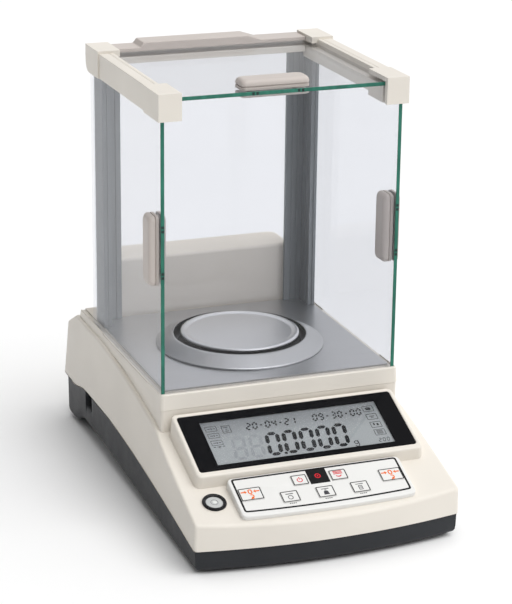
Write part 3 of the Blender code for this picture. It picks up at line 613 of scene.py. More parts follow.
def body_section(y, drop):
    """One section across the housing: over the top from right to left, then back along the flat bottom."""
    inset = corner_inset(y)
    half, crease, seam = side_half(y) - inset, crease_half(y) - inset, seam_height(y)
    level = shoulder_height(y) - drop
    down = EDGE_RADIUS / (level - seam)
    wall = (crease + (half - crease) * down, level - EDGE_RADIUS)
    side = [(half - 0.8, seam), (half, seam + 0.8)]
    side += bend_between(wall, (crease, level), (crease - EDGE_RADIUS, level))
    narrow = (crease - EDGE_RADIUS - 0.2) / 99.2
    top = side + [(x * narrow, level) for x in COLUMNS] + [(-x, z) for x, z in reversed(side)]
    ring = []
    for x, z in top:
        depth = bulged(x, y)
        on_top = y < 0.0 and z > level - EDGE_RADIUS
        ring.append((x, depth, z + panel_height(depth) - panel_height(y) if on_top else z))
    return ring + [(x, bulged(x, y), seam) for x, z in reversed(top)]


def body_depths():
    """(y, drop) of each section: close together over the rounded front and rear edges."""
    edge = quarter_round(EDGE_RADIUS)
    front = [(FRONT + inset, drop) for inset, drop in edge]
    rear = [(REAR - inset, drop) for inset, drop in edge]
    middle = [(-96.0 + 6.0 * i, 0.0) for i in range(57)]
    corner = [(REAR - REAR_CORNER + 0.9 * i, 0.0) for i in range(5)]
    return front + middle + corner + rear[::-1]


def housing_body():
    """The shoulders, the sloped panel and the sides, as one solid down to the seam."""
    rings = [body_section(y, drop) for y, drop in body_depths()]
    count = len(rings[0])
    faces = skin(rings)
    for first in (0, count * (len(rings) - 1)):
        for i in range(count // 2 - 1):
            faces.append((first + i, first + i + 1, first + count - 2 - i, first + count - 1 - i))
    points = [point for ring in rings for point in ring]
    obj = piece("housing_body", points, faces, "housing_cream", place=PLATEAU, sharp=50)
    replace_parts(obj, "upper_housing")
    cut(obj, *stud_wells("body"), well("pan_well_body", PAN_WELL_RADIUS, (0.0, PAN_CENTRE), (70.0, 130.0)))


def well(name, radius, centre, z):
    """A round upright cutter."""
    steps = 40
    outline = [polar(centre, radius, math.tau * i / steps) for i in range(steps)]
    return prism(name, outline, z[0], z[1], "socket_black")


def stud_wells(part):
    """Cutters for the room over the two levelling studs."""
    wells = []
    for name, side in SIDES:
        wells.append(well(f"stud_well_{part}_{name}", STUD_WELL_RADIUS, leveller(side), (30.0, 62.0)))
    return wells


def leveller(side):
    """The upright axis of the levelling foot on a side."""
    return (side * LEVELLER[0], LEVELLER[1])


def plateau_ring(half, front, radius, level):
    """The plateau's outline in plan, with its height as a function of depth."""
    outline = rounded_rectangle(2 * half, PLATEAU_DEPTH - front, radius, (0.0, (PLATEAU_DEPTH + front) / 2))
    return [(x, y, level(y)) for x, y in outline]


def housing_plateau():
    """The raised plateau, with the band that stands proud under its lip and the tracks for the glass."""
    wall, band, lip_radius = 0.2, 0.8, 1.0
    rings = [
        plateau_ring(PLATEAU_HALF + wall, -0.1, 2.5, lambda y: -45.0),
        plateau_ring(PLATEAU_HALF + wall, -0.1, 2.5, lambda y: -band_height(y) - 0.5),
        plateau_ring(PLATEAU_HALF + band, -band, 3.0, lambda y: -band_height(y)),
        plateau_ring(PLATEAU_HALF + 0.75, -0.75, 3.0, lambda y: -band_height(y) + 0.6),
    ]
    for inset, drop in quarter_round(lip_radius, 4):
        rings.append(plateau_ring(PLATEAU_HALF - inset, inset, 2.6, lambda y, level=-drop: level))
    obj = loft("housing_plateau", rings, "housing_cream", place=PLATEAU, sharp=50)
    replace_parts(obj, "upper_housing")
    groove = lifted(-1.2, 5.0)
    cutters = [well("pan_well", PAN_WELL_RADIUS, (0.0, PAN_CENTRE), (50.0, 130.0))]
    for (name, side), stud_well in zip(SIDES, stud_wells("plateau")):
        lip = span(side, DOOR_OUTER, PLATEAU_HALF + 3.0)
        cutters.append(block(name + "_track_cutter", door_room(side), (TRACK_START, 230.0), groove))
        cutters.append(block(name + "_lip_cutter", lip, (32.0, 153.0), groove))
        cutters.append(stud_well)
    across = (-PANE_HALF - 1.0, PANE_HALF + 1.0)
    cutters.append(block("front_track_cutter", across, FRONT_TRACK, groove))
    cut(obj, *cutters)


FRONT_STEPS = 40


def tray_ring(inset, height_at):
    """The tray's outline in plan, set in from the housing's, with each point's height from its depth."""
    stretch = [FRONT + 0.4 * i for i in range(6)] + [-98.0 + 6.0 * i for i in range(57)]
    stretch += [TRAY_REAR - REAR_CORNER + REAR_CORNER * math.sin(math.pi / 2 * i / 8) for i in range(9)]
    right = []
    for y in stretch:
        into = max(0.0, y - (TRAY_REAR - REAR_CORNER)) / REAR_CORNER
        depth = max(FRONT + inset + 0.001 * y, y - inset * into)
        right.append((side_half(y) - corner_inset(y, TRAY_REAR) - inset, depth))
    front = []
    for i in range(1, FRONT_STEPS):
        x = (2 * i / FRONT_STEPS - 1) * right[0][0]
        front.append((x, bulged(x, FRONT) + inset))
    ring = front + right + [(-x, y) for x, y in reversed(right)]
    return [(x, y, height_at(max(FRONT, y))) for x, y in ring]


def tray():
    """The black tray under the housing, with a notch and a wheel well on each side and the rear sockets."""
    lower_edge = ((6.0, 0.0), (4.0, 0.5), (2.6, 1.7), (1.7, 3.6), (1.3, 6.5))
    upper_edge = ((1.0, 1.2), (1.6, 0.4))
    rings = [tray_ring(inset, lambda y, up=up: bottom_height(y) + up) for inset, up in lower_edge]
    rings += [tray_ring(inset, lambda y, down=down: seam_height(y) - down) for inset, down in upper_edge]
    count = len(rings[0])
    strips = (count - FRONT_STEPS + 1) // 2
    faces = skin(rings)
    for first in (0, count * (len(rings) - 1)):
        right, left = first + FRONT_STEPS - 1, first + count - 1
        faces.append(tuple(range(first, right + 1)) + (left,))
        for i in range(strips - 1):
            faces.append((right + i, right + i + 1, left - i - 1, left - i))
    points = [point for ring in rings for point in ring]
    obj = piece("tray", points, faces, "tray_black", place=PLATEAU, sharp=40)
    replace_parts(obj, "base_tray")
    cutters = []
    for name, side in SIDES:
        depth = (LEVELLER[1] - 9.0, LEVELLER[1] + 9.0)
        cutters.append(block(name + "_notch", span(side, 96.0, 120.0), depth, (30.0, 60.0), "tray_black"))
        cutters.append(well(name + "_wheel_well", WHEEL_RADIUS + 0.7, leveller(side), (WHEEL[0] - 2.8, 60.0)))
        cutters.append(well(name + "_stud_bore", 4.6, leveller(side), (0.0, 40.0)))
    for socket in ("power_socket", "serial_port"):
        x, y, z = spans(socket)
        depth = (y[0] - PLATEAU_FRONT - 0.2, TRAY_REAR + 5.0)
        room = [(low - GAP, high + GAP) for low, high in (x, z)]
        cutters.append(block(socket + "_cutter", room[0], depth, room[1], "tray_black"))
    cut(obj, *cutters)


# ---- control panel


def panel_under(along):
    """Level of the sloped panel in the display's frame, a distance up the slope."""
    tilt = math.atan(DISPLAY_SLOPE)
    rise, run = math.sin(tilt), math.cos(tilt)
    at_foot = (DISPLAY_DROP - PANEL_DROP) - (DISPLAY_SLOPE - PANEL_SLOPE) * DISPLAY_FOOT
    return (at_foot - (rise - PANEL_SLOPE * run) * along) / (run + PANEL_SLOPE * rise)


def slope_ring(half, low, high, radius, level):
    """A rounded rectangle in the display's frame, at one level or at a level for each distance up it."""
    outline = rounded_rectangle(2 * half, high - low, radius, (0.0, (low + high) / 2))
    if callable(level):
        return [(x, y, level(y)) for x, y in outline]
    return [(x, y, level) for x, y in outline]


# Rectangles in the display's frame: half width, lower edge and upper edge.
RIM = (92.0, -3.2, 66.3)
RIM_FOOT = (93.3, -4.8, 61.4)
RIM_LEVEL = 3.9
WINDOW = (88.4, 2.2, 62.2)
WINDOW_LEVEL = 2.9
LCD = (72.7, 7.3, 54.1)
LCD_LEVEL = 2.6


def shrunk(rectangle, by):
    """A (half width, lower edge, upper edge) rectangle made smaller on every side."""
    half, low, high = rectangle
    return (half - by, low + by, high - by)


def display_bezel():
    """The wedge-shaped frame round the window, with soft outer edges and a thin bright rim."""
    soft = 1.6
    rings = [
        slope_ring(*shrunk(RIM_FOOT, -0.3), 5.3, lambda y: panel_under(y) - 0.6),
        slope_ring(*shrunk(RIM_FOOT, -0.3), 5.3, lambda y: panel_under(y) + 0.05),
        slope_ring(*RIM_FOOT, 5.0, lambda y: panel_under(y) + 0.9),
        slope_ring(*shrunk(RIM, -0.1), 4.6, RIM_LEVEL - soft),
    ]
    for inset, drop in quarter_round(soft)[1:]:
        rings.append(slope_ring(*shrunk(RIM, inset), 4.5 - 0.4 * inset, RIM_LEVEL - drop))
    rings += [
        slope_ring(*shrunk(WINDOW, -0.7), 2.6, RIM_LEVEL),
        slope_ring(*shrunk(WINDOW, -0.3), 2.4, RIM_LEVEL - 0.4),
        slope_ring(*shrunk(WINDOW, -0.3), 2.4, WINDOW_LEVEL),
        slope_ring(*shrunk(LCD, -1.0), 1.0, WINDOW_LEVEL),
        slope_ring(*shrunk(LCD, -1.0), 1.0, -4.0),
    ]
    bezel = loft("bezel", rings, "housing_cream", hollow=True, place=DISPLAY, sharp=50)
    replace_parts(bezel, "display_bezel")


def flat_shapes(name, shapes, levels, look, body="balance", place=DISPLAY):
    """Thin flat pieces between two levels; a shape is an outline, or an (outer, inner) pair as long."""
    points, faces = [], []
    for shape in shapes:
        loops = shape if isinstance(shape, tuple) else (shape,)
        count, first = len(loops[0]), len(points)
        for loop in loops:
            points += [(x, y, level) for level in levels for x, y in loop]
        for i in range(count):
            after = (i + 1) % count
            for start in range(first, len(points), 2 * count):
                faces.append((start + i, start + after, start + count + after, start + count + i))
            if len(loops) == 2:
                for start in (first, first + count):
                    inner = start + 2 * count
                    faces.append((start + i, start + after, inner + after, inner + i))
        if len(loops) == 1:
            faces += [tuple(range(first, first + count)), tuple(range(first + count, first + 2 * count))]
    return piece(name, points, faces, look, body=body, place=place)


def frame_shape(width, height, line, centre, radius=0.5):
    """A thin rounded frame, as an (outer, inner) pair."""
    outer = rounded_rectangle(width, height, radius, centre, steps=4)
    inner = rounded_rectangle(width - 2 * line, height - 2 * line, max(0.05, radius - line), centre, steps=4)
    return (outer, inner)


def bar(x, y, width, height):
    """A plain rectangle from its lower left corner."""
    return [(x, y), (x + width, y), (x + width, y + height), (x, y + height)]


SEGMENTS = {
    "0": "abcdef",
    "1": "bc",
    "2": "abdeg",
    "3": "abcdg",
    "4": "bcfg",
    "8": "abcdefg",
    "9": "abcdfg",
    "-": "g",
}
SLANT = 0.15


def segment(start, end, stroke):
    """A bar with pointed ends between two corners of a digit, a little short of both."""
    (x, y), half, gap = start, stroke / 2, stroke * 0.22
    flat = start[1] == end[1]
    length = end[0] - x if flat else end[1] - y
    first, last = gap, length - gap
    upper = [(first + half, half), (last - half, half)]
    lower = [(last - half, -half), (first + half, -half)]
    outline = [(first, 0.0), *upper, (last, 0.0), *lower]
    return [(x + along, y + over) if flat else (x - over, y + along) for along, over in outline]


def seven_segment(text, x, y, width, height, stroke, pitch):
    """Outlines of the lit segments of a row of digits that lean to the right."""
    middle = height / 2
    ends = {
        "a": ((0, height), (width, height)),
        "b": ((width, middle), (width, height)),
        "c": ((width, 0), (width, middle)),
        "d": ((0, 0), (width, 0)),
        "e": ((0, 0), (0, middle)),
        "f": ((0, middle), (0, height)),
        "g": ((0, middle), (width, middle)),
    }
    shapes = []
    for place, digit in enumerate(text):
        left = x + place * pitch
        for letter in SEGMENTS[digit]:
            outline = segment(*ends[letter], stroke)
            shapes.append([(left + across + SLANT * up, y + up) for across, up in outline])
    return shapes


def reading_marks():
    """The reading with its point and unit, and the date and time over it."""
    marks = seven_segment("00000", -28.2, 12.0, 8.6, 21.8, 3.3, 13.8)
    marks.append(rounded_rectangle(2.6, 2.4, 1.0, (-16.1, 11.6), steps=3))
    marks += seven_segment("20-04-21", -37.6, 41.2, 3.0, 6.6, 1.4, 5.25)
    marks += seven_segment("09-30-00", 17.6, 41.7, 3.0, 6.6, 1.4, 5.25)
    return marks + unit_letter(42.2, 12.9)


def right_icons():
    """Four framed icons in a column with a battery, a print sheet and a counter, over a small number."""
    column = 65.0
    icons = [frame_shape(9.0, 6.4, 0.45, (column, y), 0.7) for y in (47.0, 38.0, 29.0, 20.4)]
    icons.append(rounded_rectangle(4.6, 3.0, 1.4, (column, 47.0), steps=4))
    icons += [bar(63.0, 38.3, 4.0, 0.7), bar(63.8, 36.9, 2.4, 0.7)]
    icons += [bar(62.9, 28.4, 1.2, 2.4), bar(65.6, 27.8, 1.6, 2.4)]
    icons += [bar(62.4, 18.6 + 1.1 * i, 5.2, 0.5) for i in range(4)]
    return icons + seven_segment("200", 60.8, 10.2, 1.7, 3.6, 0.6, 3.4)


def left_icons():
    """Three framed icons in a column over a row of dashes, and one taller icon beside them."""
    column = -65.4
    icons = []
    for y, height in ((46.8, 5.6), (39.4, 5.2), (31.5, 5.4)):
        icons.append(frame_shape(9.2, height, 0.4, (column, y), 0.5))
        icons += [bar(-68.2, y - 0.3, 2.2, 0.6), bar(column, y - 1.0, 0.6, 2.0)]
        icons.append(bar(-63.8, y - 0.3, 1.6, 0.6))
    icons += [bar(x, 26.9, width, 0.6) for x, width in ((-69.4, 1.8), (-66.4, 3.0), (-62.0, 1.8))]
    icons.append(bar(-65.2, 25.4, 0.6, 1.6))
    icons.append(frame_shape(7.0, 8.0, 0.5, (-53.6, 44.6), 0.6))
    icons += [bar(-55.2, 46.4, 3.2, 0.6), bar(-55.2, 42.4, 3.2, 0.6), bar(-54.2, 44.3, 1.6, 0.6)]
    return icons


def lcd_marks():
    """The reading, two unlit digits before it, and a column of status icons at each side."""
    ghosts = seven_segment("88", -55.8, 12.0, 8.6, 21.8, 2.8, 13.8)
    under = LCD_LEVEL - 0.02
    flat_shapes("lcd_digits", reading_marks(), (under, LCD_LEVEL + 0.06), "lcd_mark")
    flat_shapes("lcd_unlit_digits", ghosts, (under, LCD_LEVEL + 0.04), "lcd_ghost")
    flat_shapes("lcd_icons", right_icons() + left_icons(), (under, LCD_LEVEL + 0.05), "lcd_icon")


def unit_letter(x, y):
    """A small gram sign: a bowl with a tail."""
    bowl = (arc((x, y), 1.9, 0, 345, 20), arc((x, y), 1.2, 0, 345, 20))
    stem = bar(x + 1.3, y - 3.0, 0.7, 4.9)
    tail = arc((x, y - 2.9), 1.9, -180, 0, 10) + arc((x, y - 2.9), 1.2, 0, -180, 10)
    return [bowl, stem, tail]


def display_window():
    """The black border over the display, the clear pane in it, and the grey display with its marks."""
    outer = rounded_rectangle(2 * WINDOW[0], WINDOW[2] - WINDOW[1], 2.0, (0.0, (WINDOW[1] + WINDOW[2]) / 2))
    inner = rounded_rectangle(2 * LCD[0], LCD[2] - LCD[1], 0.4, (0.0, (LCD[1] + LCD[2]) / 2))
    border = flat_shapes("window_border", [(outer, inner)], (WINDOW_LEVEL, RIM_LEVEL - 0.1), "window_black")
    soften(border, 0.15, 2)
    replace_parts(border, "display_window")
    flat_shapes("window_pane", [inner], (RIM_LEVEL - 0.5, RIM_LEVEL - 0.15), "window_clear")
    screen = rounded_rectangle(2 * LCD[0] + 1.4, LCD[2] - LCD[1] + 1.4, 0.6, (0.0, (LCD[1] + LCD[2]) / 2))
    glass = flat_shapes("lcd_screen", [screen], (-1.4, LCD_LEVEL), "lcd_grey")
    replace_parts(glass, "lcd_panel")
    lcd_marks()


KEYPAD = (70.0, -45.5, -5.2)
KEYPAD_LEVEL = 0.8
KEYPAD_BULGE = 2.0
KEY_LEVEL = 1.3
OUTLINE = (67.2, -41.2, -6.4)
# Each key's centre on the panel, its width and its height up the slope.
KEYS = {
    "tare_key_left": (-56.8, -23.8, 18.0, 12.8),
    "tare_key_right": (56.8, -23.8, 18.0, 12.8),
    "power_key": (-15.2, -16.6, 12.5, 10.6),
    "menu_key": (16.2, -16.6, 13.5, 10.6),
    "units_key": (-28.2, -31.8, 14.0, 11.2),
    "calibrate_key": (0.4, -31.8, 14.0, 11.2),
    "print_key": (28.4, -31.8, 14.0, 11.2),
}
MARK_PROUD = 0.07


def bulged_outline(half, low, high, radius, bulge):
    """A rounded rectangle whose lower edge bows toward the user."""
    outline = rounded_rectangle(2 * half, high - low, radius, (0.0, (low + high) / 2))
    middle = []
    for i in range(1, 24):
        x = (2 * i / 24 - 1) * (half - radius)
        middle.append((x, low - bulge * (1.0 - (x / half) ** 2)))
    lower_left = 3 * len(outline) // 4
    return outline[:lower_left] + middle + outline[lower_left:]


def keypad():
    """The pale plate with a rounded edge and a pocket for each key, and what is printed on it."""
    edge = 1.0
    levels = [(0.0, None), (0.0, KEYPAD_LEVEL - edge)]
    for angle in (0.4, 0.8, 1.2, math.pi / 2):
        levels.append((edge - edge * math.cos(angle), KEYPAD_LEVEL - edge + edge * math.sin(angle)))
    rings = []
    for inset, level in levels:
        half, low, high = shrunk(KEYPAD, inset)
        outline = bulged_outline(half, low, high, 4.0 - inset, KEYPAD_BULGE)
        rings.append([(x, y, panel_under(y) - 0.4 if level is None else level) for x, y in outline])
    plate = loft("key_plate", rings, "keypad_white", place=DISPLAY, sharp=50)
    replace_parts(plate, "keypad_panel")
    pockets = []
    for name, (x, y, width, height) in KEYS.items():
        outline = rounded_rectangle(width + 0.5, height + 0.5, 1.25, (x, y))
        pockets.append(prism(name + "_pocket", outline, -1.6, 4.0, "keypad_white", place=DISPLAY))
    cut(plate, *pockets)
    keypad_print()


def keypad_print():
    """The heavy outline, the red sign in its dark square, and dashes for the labels under the keys."""
    under, top = KEYPAD_LEVEL - 0.02, KEYPAD_LEVEL + MARK_PROUD
    outer = bulged_outline(*OUTLINE, 2.2, KEYPAD_BULGE)
    inner = bulged_outline(*shrunk(OUTLINE, 1.5), 1.2, KEYPAD_BULGE)
    middle = (0.1, -14.6)
    marks = [(outer, inner), rounded_rectangle(15.8, 15.4, 0.3, middle, steps=2)]
    flat_shapes("keypad_outline", marks, (under, top), "print_black")
    spot = [(arc(middle, 2.4, 0, 350, 35), arc(middle, 1.6, 0, 350, 35)), arc(middle, 0.7, 0, 340, 17)]
    flat_shapes("indicator_mark", spot, (top - 0.02, top + 0.05), "print_red")
    labels = []
    for name in ("units_key", "calibrate_key", "print_key"):
        x = KEYS[name][0]
        labels += [bar(x - 2.6 + 1.5 * i, -38.9, 1.0, 0.8) for i in range(4)]
    flat_shapes("key_labels", labels, (under, KEYPAD_LEVEL + 0.05), "print_grey")


def arrow(x, y, length, direction):
    """A short arrow with its tip at (x, y), pointing to the right for 1 and to the left for -1."""
    head, half_head, half_shaft = 1.9, 1.6, 0.55
    back = x - direction * head
    tail = x - direction * length
    return [
        (x, y), (back, y + half_head), (back, y + half_shaft), (tail, y + half_shaft),
        (tail, y - half_shaft), (back, y - half_shaft), (back, y - half_head),
    ]


def tare_marks(x, y):
    """A zero between two arrows, over a small return arrow."""
    zero = frame_shape(3.4, 4.8, 0.9, (x, y + 2.2), 1.5)
    hook = arc((x, y - 2.6), 2.0, -60, 120, 10) + arc((x, y - 2.6), 1.1, 120, -60, 10)
    tip = [(x - 1.4, y - 5.3), (x + 1.7, y - 5.0), (x + 0.2, y - 2.8)]
    return [zero, arrow(x - 2.5, y + 2.2, 4.9, 1), arrow(x + 2.5, y + 2.2, 4.9, -1), hook, tip]


def power_marks(x, y):
    """A broken ring with an upright bar in its gap."""
    ring = arc((x, y - 0.2), 2.3, 120, 420, 24) + arc((x, y - 0.2), 1.65, 420, 120, 24)
    return [ring, bar(x - 0.35, y + 0.3, 0.7, 2.6)]


def menu_marks(x, y):
    """Three lines over a shallow bowl."""
    lines = [bar(x - 3.6, y + 0.6 + 1.3 * i, 7.2, 0.75) for i in range(3)]
    smile = arc((x, y + 0.2), 2.6, -155, -25, 12) + arc((x, y + 0.9), 2.3, -35, -145, 12)
    return [*lines, smile]


def units_marks(x, y):
    """A ring under a line."""
    return [frame_shape(4.2, 4.2, 0.55, (x, y - 1.0), 2.0), bar(x - 3.0, y + 2.2, 6.0, 0.7)]


def calibrate_marks(x, y):
    """A weight with its knob."""
    weight = [(x - 2.2, y - 3.2), (x + 2.2, y - 3.2), (x + 1.6, y + 0.4), (x - 1.6, y + 0.4)]
    return [weight, frame_shape(1.6, 1.6, 0.4, (x, y + 1.1), 0.7), bar(x - 3.0, y + 2.4, 6.0, 0.6)]


def print_marks(x, y):
    """A sheet with two printed lines."""
    sheet = frame_shape(3.2, 4.4, 0.5, (x, y - 1.0), 0.3)
    text = [bar(x - 0.9, y - 0.6, 1.8, 0.4), bar(x - 0.9, y - 1.8, 1.8, 0.4)]
    return [sheet, *text, bar(x - 3.0, y + 2.4, 6.0, 0.6)]


# What each key's symbol is drawn by, and its ink.
MARKS = {
    "tare_key_left": (tare_marks, "print_orange"),
    "tare_key_right": (tare_marks, "print_orange"),
    "power_key": (power_marks, "print_red"),
    "menu_key": (menu_marks, "print_red"),
    "units_key": (units_marks, "print_grey"),
    "calibrate_key": (calibrate_marks, "print_grey"),
    "print_key": (print_marks, "print_grey"),
}


def keys():
    """Low membrane keys with a thin printed frame and a symbol each."""
    for name, (x, y, width, height) in KEYS.items():
        rings = []
        for inset, level in ((0.0, -0.8), (0.0, KEY_LEVEL - 0.4), (0.12, KEY_LEVEL - 0.12), (0.4, KEY_LEVEL)):
            outline = rounded_rectangle(width - 2 * inset, height - 2 * inset, 1.0, (x, y), steps=5)
            rings.append([(px, py, level) for px, py in outline])
        cap = loft(name + "_cap", rings, "keypad_white", body=name, place=DISPLAY, sharp=50)
        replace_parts(cap, name)
        levels = (KEY_LEVEL - 0.02, KEY_LEVEL + MARK_PROUD)
        edge = frame_shape(width - 0.5, height - 0.5, 0.7, (x, y), 0.8)
        flat_shapes(name + "_frame", [edge], levels, "print_black", body=name)
        draw, ink = MARKS[name]
        flat_shapes(name + "_symbol", draw(x, y), levels, ink, body=name)


def spirit_level():
    """A black ring set in the panel round a grey vial with a circle and a bubble."""
    centre = (-84.3, -19.8)
    rim = [(10.0, -0.3), (10.0, 0.25), (9.7, 0.4), (9.3, 0.3), (9.2, -0.3)]
    lathe("level_seat", rim, "housing_cream", centre, place=PANEL)
    ring = [(6.5, -1.0), (6.5, 0.9), (6.9, 1.6), (7.6, 1.9), (8.7, 1.8), (9.2, 1.2), (9.25, -1.0)]
    obj = lathe("level_bezel", ring, "level_black", centre, place=PANEL)
    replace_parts(obj, "level_ring")
    vial = [(0.01, -1.5), (0.01, 0.95), (4.0, 0.9), (6.0, 0.75), (6.52, 0.5), (6.52, -1.5)]
    disc = lathe("level_disc", vial, "level_glass", centre, place=PANEL)
    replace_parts(disc, "level_vial")
    circle = [(2.6, 0.85), (2.6, 1.0), (2.85, 1.0), (2.85, 0.85)]
    lathe("level_circle", circle, "print_grey", centre, steps=48, place=PANEL)
    bubble = [(0.01, 0.8), (0.01, 1.25), (0.8, 1.18), (1.5, 1.0), (1.7, 0.8)]
    off_centre = (centre[0] + 0.4, centre[1] + 0.3)
    lathe("level_air_bubble", bubble, "level_bubble", off_centre, steps=40, place=PANEL)


# ---- chamber floor and pan


def weighing_area():
    """The conical draft ring, with painted shade on its inner and lower faces, and the round pan with its
    rolled rim and socket.
    """
    options = {"centre": (0.0, PAN_CENTRE), "steps": 160, "place": PLATEAU}
    inner_lip = [(54.0, 8.2), (53.3, 9.0), (53.4, 9.5), (54.0, 9.75), (55.0, 9.6), (56.4, 9.0)]
    outer_lip = [(67.6, 3.4), (68.3, 2.6), (68.3, 1.6), (67.2, 1.6), (66.6, 2.3), (55.4, 7.9)]
    profile = inner_lip + outer_lip
    shade_looks = ("painted_shade_black",)
    ring = lathe("draft_cone", profile, "stainless_ring", body="draft_ring", looks=shade_looks, **options)
    # Faces that face the axis or point down take the painted shade.
    for face in ring.data.polygons:
        outward = Vector((face.center[0], face.center[1] - PAN_AXIS[1] * MM, 0.0)).normalized()
        face.material_index = 1 if face.normal.dot(outward) < -0.15 or face.normal[2] < -0.5 else 0
    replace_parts(ring, "draft_ring")
    top = [(0.02, 9.6), (0.02, 11.0), (41.6, 11.0), (42.6, 11.05), (43.6, 11.5)]
    rim = [(44.6, 11.95), (45.8, 12.2), (47.0, 12.1), (48.0, 11.5), (48.4, 10.7), (48.3, 9.8), (47.8, 9.4)]
    under = [(46.8, 9.6), (44.0, 9.4), (8.0, 9.3)]
    socket = [(7.0, 8.8), (7.0, 4.7), (4.7, 4.7), (4.7, 9.6)]
    pan = lathe("pan_dish", top + rim + under + socket, "stainless_pan", body="weighing_pan", **options)
    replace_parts(pan, "weighing_pan")


def rear_box():
    """The tall box behind the chamber, with round corners and a soft top edge."""
    x, y, z = spans("rear_housing")
    width, depth = x[1] - x[0], y[1] - y[0]
    centre = (0.0, (y[0] + y[1]) / 2 - PLATEAU_FRONT)
    radius, soft = 9.0, 3.0
    on_plateau, behind_plateau = PLATEAU_TOP + 0.2, z[0]
    foot = rounded_rectangle(width, depth, radius, centre)
    rings = [[(px, py, behind_plateau if py > PLATEAU_DEPTH + 1.5 else on_plateau) for px, py in foot]]
    for inset, drop in quarter_round(soft):
        outline = rounded_rectangle(width - 2 * inset, depth - 2 * inset, radius - inset, centre)
        rings.append([(px, py, z[1] - drop) for px, py in outline])
    # The box takes the lighter copy of the housing's cream: painted light.
    obj = loft("rear_tower", rings, "rear_cream_painted_light", sharp=50)
    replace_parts(obj, "rear_housing")


# ---- draft shield

RAIL_OUTER = 99.5
RAIL_WALL = 87.5
RAIL_INNER = 82.0
RAIL_BOTTOM = 214.5
LEDGE_BOTTOM = 222.0
LEDGE_TOP = 227.6
ROOF_TOP = LEDGE_TOP + GAP + PANE_THICKNESS
BLOCK_REAR = 34.5
CAP_FRONT = 150.3
FRAME_REAR = 184.0
COLUMN_FRONT = 162.0
DOOR_SLOT_TOP = 217.8
# Cutters reach this far in and back, clear of the frame.
CLEAR_INNER = 60.0
CLEAR_REAR = 200.0


def frame_end(name, side, x, y, z, slots_from, edge, *cutters):
    """A block at one end of a side rail, with slots for the roof glass and for the side door's top edge."""
    obj = block(name, span(side, *x), y, lifted(*z))
    along = (slots_from, CLEAR_REAR)
    roof_room = span(side, CLEAR_INNER, RAIL_WALL)
    roof = block(name + "_roof_slot", roof_room, along, lifted(LEDGE_TOP, ROOF_TOP + GAP))
    door = block(name + "_door_slot", door_room(side), along, lifted(190.0, DOOR_SLOT_TOP))
    cut(obj, roof, door, *cutters)
    soften(obj, edge)
    return obj


def front_block(name, side):
    """The block over a front corner, with a slot for the front pane."""
    across, height = span(side, CLEAR_INNER, DOOR_INNER), lifted(200.0, LEDGE_TOP + GAP)
    pane_slot = block(name + "_pane_slot", across, FRONT_TRACK, height)
    x, z = (RAIL_INNER, RAIL_OUTER + 0.8), (214.0, 234.8)
    obj = frame_end(name + "_front_block", side, x, (-1.5, BLOCK_REAR), z, TRACK_START, 1.1, pane_slot)
    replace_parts(obj, name + "_corner_block")


def side_rail(name, side):
    """The rail over a side door: a wall with a groove under it for the door, and a ledge for the roof."""
    wall, top = RAIL_WALL - GAP, 234.4
    low, high = door_room(1)
    ledge = [(RAIL_INNER, LEDGE_BOTTOM), (wall, LEDGE_BOTTOM), (wall, RAIL_BOTTOM)]
    groove = [(low, RAIL_BOTTOM), (low, DOOR_SLOT_TOP), (high, DOOR_SLOT_TOP), (high, RAIL_BOTTOM)]
    outer = [(RAIL_OUTER, RAIL_BOTTOM), (RAIL_OUTER, top)]
    score = [(RAIL_WALL + 4.2, top), (RAIL_WALL + 3.6, top - 0.8), (RAIL_WALL + 3.0, top)]
    inner = [(RAIL_WALL, top), (RAIL_WALL, LEDGE_TOP), (RAIL_INNER, LEDGE_TOP)]
    outline = [(side * x, PLATEAU_TOP + z) for x, z in ledge + groove + outer + score + inner]
    ends = (BLOCK_REAR - 0.2, CAP_FRONT + 0.2)
    rail = prism(name + "_rail", outline, *ends, "housing_cream", axis="y", edge=0.5)
    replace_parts(rail, name + "_top_rail")


def rear_cap(name, side):
    """The block over a rear corner, with room for the column and a round lower rear corner."""
    room, height = span(side, CLEAR_INNER, RAIL_WALL - GAP), lifted(200.0, LEDGE_BOTTOM)
    column_room = block(name + "_column_room", room, (140.0, CLEAR_REAR), height)
    radius, beyond = 9.0, 9.0
    corner = (FRAME_REAR - radius, PLATEAU_TOP + RAIL_BOTTOM + radius)
    outline = arc(corner, radius, -90, 0, 8)
    outline += [(FRAME_REAR + beyond, corner[1]), (FRAME_REAR + beyond, corner[1] - 20.0)]
    outline.append((corner[0], corner[1] - 20.0))
    across = span(side, DOOR_OUTER, RAIL_OUTER + beyond)
    rounding = prism(name + "_rounding", outline, *across, "housing_cream", axis="x")
    x, y, z = (RAIL_INNER, RAIL_OUTER + 1.2), (CAP_FRONT, FRAME_REAR), (RAIL_BOTTOM, 236.4)
    obj = frame_end(name + "_end_cap", side, x, y, z, 100.0, 3.6, column_room, rounding)
    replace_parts(obj, name + "_rear_cap")


def grooved(start, end, places, inward):
    """Points from start to end with square grooves sunk inward at these fractions of the way."""
    half_width, depth = 0.6, 0.7
    along = Vector(end) - Vector(start)
    step, sunk = along.normalized() * half_width, Vector(inward) * depth
    points = [tuple(start)]
    for place in places:
        middle = Vector(start) + along * place
        corners = (middle - step, middle - step + sunk, middle + step + sunk, middle + step)
        points += [tuple(corner) for corner in corners]
    return points


